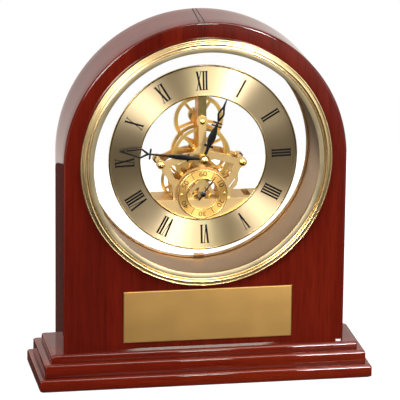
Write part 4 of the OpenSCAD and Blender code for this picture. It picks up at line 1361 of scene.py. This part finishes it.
@dataclass
class Train:
    """Every wheel of the movement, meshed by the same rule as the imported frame.

    The addendum and the dedendum are shares of a wheel's module.
    """

    finishes: Finishes
    wheels: WheelTree
    addendum: float = 0.8
    dedendum: float = 1.05
    hands: Point = CENTRE
    seconds: Point = SECONDS
    setting: Point = (0.0, 19.1)

    def __post_init__(self) -> None:
        """Places the arbors whose centres follow from the wheels' distances."""
        self.minute = polar(20.0, 243.6)
        drop = (18.42 ** 2 - 10.8 ** 2 + 22.2 ** 2) / (2 * 22.2)
        self.third = (math.sqrt(18.42 ** 2 - drop ** 2), -drop)
        self.between = polar(7.56, 200, self.seconds)
        self.rotor = polar(6.0, 217, self.between)

    @staticmethod
    def pair(start: Point, end: Point, teeth: int, others: int) -> tuple[float, float]:
        """Meshes a pair whose first wheel has a tooth at nought degrees.

        Args:
            start: the first wheel's centre.
            end: the second wheel's centre.
            teeth: the first wheel's number of teeth.
            others: the second wheel's number of teeth.

        Returns:
            The pair's module, and the angle of a tooth on the second wheel, in degrees.
        """
        line = math.degrees(math.atan2(end[1] - start[1], end[0] - start[0]))
        module = 2 * math.dist(start, end) / (teeth + others)
        return module, line + 180 - (0.5 - line * teeth / 360) * 360 / others

    def add_gear(self, bm: BMesh, gear: Gear, material: Material) -> None:
        """Runs the wheel tree for one gear and adds its mesh."""
        pitch = gear.teeth * gear.module / 2
        root = pitch - self.dedendum * gear.module
        tip = pitch + self.addendum * gear.module
        values = {"Teeth": gear.teeth, "Root Radius": root * MM, "Tip Radius": tip * MM,
                  "Phase": math.radians(gear.phase), "Rim Radius": max(0.1, root - gear.rim) * MM,
                  "Hub Radius": max(0.05, gear.hub) * MM, "Spokes": gear.spokes,
                  "Spoke Width": gear.spoke * MM, "Turn": math.radians(gear.turn),
                  "Thickness": (gear.back - gear.front) * MM,
                  "Centre": at(*gear.centre, gear.back)[:], "Material": material}
        take(bm, self.wheels.run(values))

    def turning(self, name: str, node: str, gears: Iterable[Gear], rods: Iterable[Rod],
                polished: bool = False) -> None:
        """Builds one turning piece, in the place and on the body of its CAD node.

        Args:
            name: the new piece's name.
            node: the CAD node, whose body has the same name.
            gears: its wheels and pinions.
            rods: the lengths of its arbor.
            polished: True for the arbor that shows in front.
        """
        material = self.finishes.polished if polished else self.finishes.wheel
        bm = bmesh.new()
        for gear in gears:
            self.add_gear(bm, gear, material)
        for rod in rods:
            soft = min(0.12, rod.radius * 0.3)
            lathe(bm, softened(rod.radius, rod.front, rod.back, soft), rod.centre, 28, False)
        slot = "polished_brass" if polished else "wheel_brass"
        show(mesh_object(name, bm, material, 30), node, slot, node)

    def build(self) -> None:
        """Makes the going train, the motion work and the setting wheel."""
        hands, minute, third = self.hands, self.minute, self.third
        seconds, between, setting = self.seconds, self.between, self.setting
        m_rotor, _ = self.pair(between, self.rotor, 40, 8)
        m_seconds, at_between = self.pair(seconds, between, 48, 8)
        m_third, at_third = self.pair(seconds, third, 12, 60)
        m_centre, at_centre = self.pair(third, hands, 8, 96)
        m_minute, at_minute = self.pair(hands, minute, 44, 88)
        m_hour, at_hour = self.pair(minute, hands, 18, 108)
        m_setting, at_setting = self.pair(hands, setting, 24, 84)
        self.turning("intermediate_arbor", "intermediate_wheel", [
            Gear(between, 40, m_rotor, 0, 21.2, 22.0, 0.8, 1.4, 4, 0.8, 20),
            Gear(between, 8, m_seconds, at_between, 17.3, 18.7)], [Rod(between, 0.6, 14.0, 23.6)])
        self.turning("seconds_arbor", "seconds_wheel", [
            Gear(seconds, 48, m_seconds, 0, 17.6, 18.4, 0.9, 1.8, 4, 1.0, 30),
            Gear(seconds, 12, m_third, 0, 18.9, 20.3)],
            [Rod(seconds, 0.5, 9.9, 23.6), Rod(seconds, 1.1, 15.3, 17.6)])
        self.turning("third_arbor", "third_wheel", [
            Gear(third, 60, m_third, at_third, 19.2, 20.0, 1.3, 2.0, 5, 1.1, 12),
            Gear(third, 8, m_centre, 0, 25.0, 26.6)], [Rod(third, 0.6, 14.0, 30.8)])
        self.turning("centre_gear", "centre_wheel", [
            Gear(hands, 96, m_centre, at_centre, 25.4, 26.2, 1.8, 3.4, 5, 1.6, 100)],
            [Rod(hands, 2.2, 24.2, 25.4)])
        self.turning("hands_arbor", "minute_arbor", [
            Gear(hands, 24, m_setting, 0, 27.0, 28.2), Gear(hands, 44, m_minute, 0, 28.4, 29.2)],
            [Rod(hands, 0.9, 6.5, 30.8), Rod(hands, 2.2, 23.7, 24.1)], True)
        self.turning("minute_gear", "minute_wheel", [
            Gear(minute, 88, m_minute, at_minute, 28.4, 29.2, 1.6, 2.6, 5, 1.4, 205),
            Gear(minute, 18, m_hour, 0, 15.7, 17.1)], [Rod(minute, 0.6, 14.0, 30.8)])
        self.turning("hour_gear", "hour_wheel", [
            Gear(hands, 108, m_hour, at_hour, 16.0, 16.8, 1.7, 4.0, 5, 1.6, 60)],
            [Rod(hands, 1.55, 8.3, 17.6), Rod(hands, 2.35, 15.3, 16.0)])
        self.turning("setting_gear", "setting_wheel", [
            Gear(setting, 84, m_setting, at_setting, 27.2, 28.0, 2.0, 4.4, 5, 1.7, 130)],
            [Rod(setting, 0.6, 23.8, 39.3)])
        knob = refined_copy("setting_knob", "setting_grip", self.finishes.knob, 0.15)
        show(knob, "setting_wheel", "knob_brass", "setting_knob")
        dress("rotor", self.finishes.magnet)


@dataclass
class Movement:
    """The frame of the movement, the battery box and what they hold still.

    The seats are the depths that the screw heads sit at.
    """

    finishes: Finishes
    screws: Screws
    pillar: Point = (24.4, -4.6)
    boss: Point = (0.0, 21.0)
    front_seat: float = 14.02
    rear_seat: float = 30.78
    glass_seat: float = 34.28

    def pillars(self) -> Piece:
        """Builds the two turned pillars with their collars."""
        profile = [(0.0, 15.2), (2.6, 15.2), (2.7, 15.35), (2.7, 16.6), (2.5, 16.8), (2.0, 17.1),
                   (1.8, 17.5), (1.8, 26.4), (2.0, 26.9), (2.5, 27.2), (2.7, 27.4), (2.7, 29.4),
                   (2.6, 29.6), (0.0, 29.6)]
        bm = bmesh.new()
        for side in (-1, 1):
            lathe(bm, profile, (side * self.pillar[0], self.pillar[1]), 48, False)
        return mesh_object("turned_pillars", bm, self.finishes.polished, CRISP)

    def bracket(self) -> Piece:
        """Builds the deep bar, its left side given a warmer colour: a painted reflection of the wheels."""
        piece = refined_copy("top_bracket", "deep_bracket", self.finishes.bar, 0.15)
        piece.data.materials.append(self.finishes.bar_side)
        # painted reflection: faces turned to the left take the warmer colour of the wheels they mirror
        for face in piece.data.polygons:
            if face.normal.x < -0.9:
                face.material_index = 1
        return piece

    def build(self) -> None:
        """Makes the frame's pieces."""
        made = self.finishes
        for node, name, slot, material, soft in (
                ("front_plate", "front_frame", "frame_brass", made.frame, 0.14),
                ("rear_plate", "rear_frame", "frame_brass", made.frame, 0.1),
                ("battery_box", "battery_house", "box_brass", made.box, 0.2)):
            show(refined_copy(node, name, material, soft), "case", slot, node)
        show(self.bracket(), "case", "frame_brass", "top_bracket")
        lid = refined_copy("battery_cover", "battery_lid", made.box, 0.15)
        show(lid, "battery_cover", "box_brass", "battery_cover")
        show(self.pillars(), "case", "polished_brass", "pillars")
        x, z = self.pillar
        for index, (px, pz, size) in enumerate(((-x, z, 2.2), (x, z, 2.2), (*self.boss, 1.75))):
            head = self.screws.build(f"frame_screw_{index}", [at(px, pz, self.front_seat)], size, 0.8, True,
                                     made.polished)
            show(head, "case", "screw_brass", "pillar_screws")
        rear = [at(side * x, z, self.rear_seat) for side in (-1, 1)]
        heads = self.screws.build("rear_frame_screws", rear, 1.7, 0.7, False, made.polished)
        show(heads, "case", "screw_brass", "pillar_screws")
        low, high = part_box("movement_screws")
        head = 2.4
        across, bottom, top = high.x / MM - head, low.z / MM - DIAL_Z + head, high.z / MM - DIAL_Z - head
        places = [at(px, pz, self.glass_seat)
                  for px, pz in ((-5.5, top), (5.5, top), (-across, bottom), (across, bottom))]
        heads = self.screws.build("holding_screws", places, head, 0.8, False, made.steel)
        show(heads, "case", "zinc_screw", "movement_screws")
        for node, material in (("battery", made.sleeve), ("battery_contacts", made.steel),
                               ("circuit_board", made.board), ("coil", made.copper), ("stator", made.steel),
                               ("motor_bridge", made.frame)):
            dress(node, material)


@dataclass
class Hands:
    """The three black hands and the domed cap."""

    finishes: Finishes
    hour_turn: float = 20.6
    minute_turn: float = 277.6
    second_turn: float = 35.6
    seconds: Point = SECONDS

    @staticmethod
    def disc(radius: float) -> list[Point]:
        """Gives a round outline, drawn the other way round for a hole, whose radius is below nought."""
        way = math.copysign(1, radius)
        return [polar(abs(radius), way * a) for a in range(0, 360, 10)]

    @staticmethod
    def bar(start: float, end: float, half: float, soft: float) -> list[Point]:
        """Gives a short bar across the hand, with rounded corners."""
        return rounded([(start, -half), (end, -half), (end, half), (start, half)], soft)

    @staticmethod
    def both_sides(upper: Sequence[Point]) -> list[Point]:
        """Completes a shape from its upper edge, which starts and ends on the middle line."""
        lower = [(x, -y) for x, y in reversed(upper[1:-1])]
        return [*upper, *lower]

    def hand(self, name: str, shapes: Sequence[Sequence[Sequence[Point]]], clock_angle: float, front: float,
             thick: float) -> Piece:
        """Builds one hand from flat shapes, each an outline and its holes."""
        bm = bmesh.new()
        for layer, shape in enumerate(shapes):
            lines = [spun(line, math.radians(90 - clock_angle)) for line in shape]
            cut_plate(bm, lines, front + 0.015 * layer, front + thick - 0.015 * layer, 0.06)
        return mesh_object(name, bm, self.finishes.enamel, CRISP)

    def hour(self) -> Piece:
        """Builds the hour hand: blade, nubs, double cross and open lozenge."""
        hub, hole = self.disc(2.75), self.disc(-1.6)
        blade = self.both_sides([(2.3, 0.0), (2.4, 0.9), (7.0, 0.9), (8.6, 1.2), (10.5, 2.0), (14.0, 2.3),
                                 (17.5, 1.75), (20.5, 0.85), (23.8, 0.6), (23.9, 0.0)])
        nub = self.bar(7.4, 8.8, 2.9, 0.5)
        first = self.bar(20.4, 21.4, 3.2, 0.4)
        second = self.bar(22.4, 23.4, 2.9, 0.4)
        lozenge = self.both_sides([(23.6, 0.0), (24.2, 0.75), (28.0, 2.15), (29.2, 2.05), (33.2, 0.75),
                                   (38.1, 0.3), (38.2, 0.0)])
        eye = self.both_sides([(25.8, 0.0), (28.2, 1.0), (29.0, 0.95), (31.5, 0.0)])[::-1]
        return self.hand("hour_pointer", [[hub, hole], [blade], [nub], [first], [second], [lozenge, eye]],
                         self.hour_turn, 8.5, 0.4)

    def minute(self) -> Piece:
        """Builds the minute hand: blade, nubs, cross and the long open kite."""
        hub, hole = self.disc(2.5), self.disc(-0.95)
        blade = self.both_sides([(2.0, 0.0), (2.1, 0.7), (4.0, 0.75), (7.5, 1.15), (10.0, 1.6),
                                 (14.5, 1.75), (18.5, 1.3), (22.0, 0.62), (33.2, 0.5), (33.3, 0.0)])
        nub = self.bar(9.2, 10.4, 2.5, 0.5)
        cross = self.bar(32.0, 33.1, 3.4, 0.45)
        kite = self.both_sides([(32.9, 0.0), (33.4, 0.6), (35.6, 1.8), (37.6, 3.05), (39.3, 2.9),
                                (51.0, 0.42), (51.2, 0.0)])
        eye = self.both_sides([(35.0, 0.0), (37.9, 1.95), (39.0, 1.9), (48.0, 0.0)])[::-1]
        return self.hand("minute_pointer", [[hub, hole], [blade], [nub], [cross], [kite, eye]],
                         self.minute_turn, 7.0, 0.4)

    def second(self) -> Piece:
        """Builds the thin second hand with its boss and its tail."""
        needle = [(-4.4, -0.42), (-4.4, 0.42), (0.0, 0.34), (13.0, 0.16), (13.0, -0.16), (0.0, -0.34)]
        boss = [(0.0, 9.2), (1.4, 9.25), (1.65, 9.4), (1.7, 9.6), (1.7, 10.0), (0.0, 10.0)]
        bm = bmesh.new()
        prism(bm, spun(needle, math.radians(90 - self.second_turn), self.seconds), 9.5, 9.8)
        lathe(bm, boss, self.seconds, 40, False)
        return mesh_object("second_pointer", bm, self.finishes.enamel, 35)

    def cap(self) -> Piece:
        """Builds the polished dome on the centre."""
        radius, front, back = 3.3, 3.0, 7.0
        dome = [(radius * s, front + radius * (1 - c)) for c, s in quarter(6)]
        profile = [*dome, (radius, back - 0.2), (radius - 0.2, back), (0.0, back)]
        return turned_piece("centre_dome", [profile], self.finishes.polished, CRISP, count=64, ring=False)

    def build(self) -> None:
        """Makes the hands and the cap."""
        show(self.hour(), "hour_wheel", "hand_black", "hour_hand")
        show(self.minute(), "minute_arbor", "hand_black", "minute_hand")
        show(self.second(), "seconds_wheel", "hand_black", "second_hand")
        show(self.cap(), "minute_arbor", "polished_brass", "hub_cap")


# ---------------------------------------------------------------------------------------------
# Studio
# ---------------------------------------------------------------------------------------------


@dataclass(frozen=True)
class Softbox:
    """One soft lamp, aimed at the clock's middle. Its place and its size are in metres."""

    name: str
    place: Sequence[float]
    size: Sequence[float]
    watts: float
    gleam: bool = False
    tint: Colour = WHITE
    target: Sequence[float] = (0.0, 0.0, 0.11)

    def build(self) -> None:
        """Hangs the lamp. A gleam shows in metal and lacquer only, and adds no plain light."""
        data = bpy.data.lights.new(self.name, "AREA")
        data.shape, data.size, data.size_y = "RECTANGLE", self.size[0], self.size[1]
        data.energy = self.watts
        data.color = self.tint
        lamp = add_object(self.name, data)
        lamp.location = self.place
        aim = Vector(self.target) - Vector(self.place)
        lamp.rotation_euler = aim.to_track_quat("-Z", "Y").to_euler()
        lamp.visible_camera = lamp.visible_transmission = False
        lamp.visible_diffuse = not self.gleam


@dataclass
class Studio:
    """The camera, the lamps, the pale floor and the white background."""

    yaw: float = 10.265
    pitch: float = 16.192
    roll: float = 0.628
    distance: float = 2.06133
    target: Sequence[float] = (-0.00354, -0.0185, 0.11144)
    lens: float = 315.55

    def camera(self) -> None:
        """Sets the camera at the photograph's viewing angle."""
        yaw, pitch, roll = (math.radians(v) for v in (self.yaw, self.pitch, self.roll))
        away = Vector((-math.sin(yaw) * math.cos(pitch), -math.cos(yaw) * math.cos(pitch), math.sin(pitch)))
        level = (-away).cross(Vector((0, 0, 1))).normalized()
        above = level.cross(-away)
        right = math.cos(roll) * level + math.sin(roll) * above
        upward = -math.sin(roll) * level + math.cos(roll) * above
        data = bpy.data.cameras.new("photo_camera")
        data.sensor_width, data.lens, data.clip_start, data.clip_end = 36.0, self.lens, 0.05, 50.0
        camera = add_object("photo_camera", data)
        turn = Matrix((right, upward, away)).transposed()
        camera.matrix_world = Matrix.Translation(Vector(self.target) + away * self.distance) @ turn.to_4x4()
        bpy.context.scene.camera = camera

    def floor(self) -> None:
        """Lays a pale floor that the camera sees as white, with the clock's shadow on it."""
        mesh = bpy.data.meshes.new("studio_floor")
        mesh.from_pydata([(-3, -4, 0), (3, -4, 0), (3, 0.47, 0), (-3, 0.47, 0)], [], [(0, 1, 2, 3)])
        floor = add_object("studio_floor", mesh)
        material = bpy.data.materials.new("pale_floor")
        material.use_nodes = True
        nodes = Nodes(material.node_tree)
        nodes.tree.nodes.clear()
        path = nodes.node("LightPath").outputs
        pale = nodes.node("BsdfDiffuse", {"Color": (0.62, 0.62, 0.62, 1)}).outputs[0]
        strength = self.beside(nodes)
        dim = nodes.node("Emission", {"Color": (1.0, 0.93, 0.84, 1), "Strength": strength}).outputs[0]
        glow = nodes.node("Emission", {"Strength": 0.62}).outputs[0]
        lit = nodes.node("AddShader", {0: pale, 1: glow}).outputs[0]
        mirrored = nodes.either(path["Is Glossy Ray"], pale, dim)
        nodes.node("OutputMaterial", {"Surface": nodes.either(nodes.seen(path), mirrored, lit)})
        mesh.materials.append(material)

    @staticmethod
    def beside(nodes: Nodes) -> Socket:
        """Gives how bright the floor looks in polished metal: brighter beside the clock than before it.

        Args:
            nodes: the floor material's nodes.

        Returns:
            A strength.
        """
        split = nodes.node("SeparateXYZ", {0: nodes.node("TexCoord").outputs["Object"]}).outputs
        bright = nodes.node("MapRange", {"Value": nodes.calc("ABSOLUTE", split["X"]), "From Min": 0.15,
                                         "From Max": 0.55, "To Min": 0.03, "To Max": 0.9},
                            interpolation_type="SMOOTHSTEP").outputs[0]
        front = nodes.node("MapRange", {"Value": split["Y"], "From Min": 0.03,
                                        "From Max": -0.06}).outputs[0]
        return nodes.node("Mix", {0: front, 2: 0.045, 3: bright}).outputs[0]

    def world(self) -> None:
        """Makes the white background, and the soft room light that fills the shadows."""
        world = bpy.data.worlds.new("studio_world")
        bpy.context.scene.world = world
        world.use_nodes = True
        nodes = Nodes(world.node_tree)
        nodes.tree.nodes.clear()

        def background(colour: Colour, strength: float) -> Socket:
            """Adds one plain background."""
            return nodes.node("Background", {0: (*colour, 1), 1: strength}).outputs[0]

        path = nodes.node("LightPath").outputs
        way = nodes.node("SeparateXYZ", {0: nodes.node("TexCoord").outputs["Generated"]}).outputs["Y"]
        behind = nodes.node("MapRange", {"Value": way, "From Min": 0.72, "From Max": 0.86}).outputs[0]
        mirrored = nodes.either(behind, background((1.0, 0.95, 0.88), 0.13),
                                background((1.0, 0.91, 0.85), 0.92))
        unseen = nodes.either(path["Is Glossy Ray"], background((0.98, 0.98, 1.0), 0.42), mirrored)
        whole = nodes.either(nodes.seen(path), unseen, background(WHITE, 1.0))
        nodes.node("OutputWorld", {0: whole})

    def build(self) -> None:
        """Sets up the whole studio."""
        bpy.context.scene.view_settings.view_transform = "Standard"
        self.camera()
        self.floor()
        self.world()
        for lamp in (
                Softbox("key_left", (-1.15, -1.15, 1.15), (0.9, 0.9), 21.0),
                Softbox("top_front", (0.42, -0.85, 1.5), (1.0, 0.5), 14.0),
                Softbox("fill_right", (1.5, -1.2, 0.6), (0.7, 1.0), 6.0),
                Softbox("top_back", (-0.1, 0.7, 1.3), (1.2, 0.5), 7.0),
                Softbox("gleam_eleven", (-0.46, -1.95, 0.36), (0.42, 0.42), 17.0, True),
                Softbox("gleam_one", (0.72, -1.83, 0.57), (0.22, 0.3), 24.0, True),
                Softbox("gleam_twelve", (0.34, -1.91, 0.66), (0.16, 0.3), 6.0, True, (0.9, 1.0, 0.86)),
                Softbox("gleam_right", (1.25, -1.35, 0.22), (0.35, 0.4), 1.5, True),
                Softbox("gleam_strip", (0.0, -1.3, 1.3), (2.6, 0.14), 10.0, True, (1.0, 0.78, 0.62))):
            lamp.build()


def main() -> None:
    """Builds the studio and then the clock, one sub-assembly after another."""
    logging.basicConfig(level=logging.INFO, format="%(name)s: %(message)s")
    Studio().build()
    finishes = Finishes()
    screws = Screws(ScrewTree())
    for part in (Base(finishes), Case(finishes), Insert(finishes, screws), ChapterRing(finishes),
                 SecondsDial(finishes, screws), Movement(finishes, screws), Train(finishes, WheelTree()),
                 Hands(finishes)):
        part.build()
        LOG.info("finished %s", type(part).__name__)


if __name__ == "__main__":
    main()
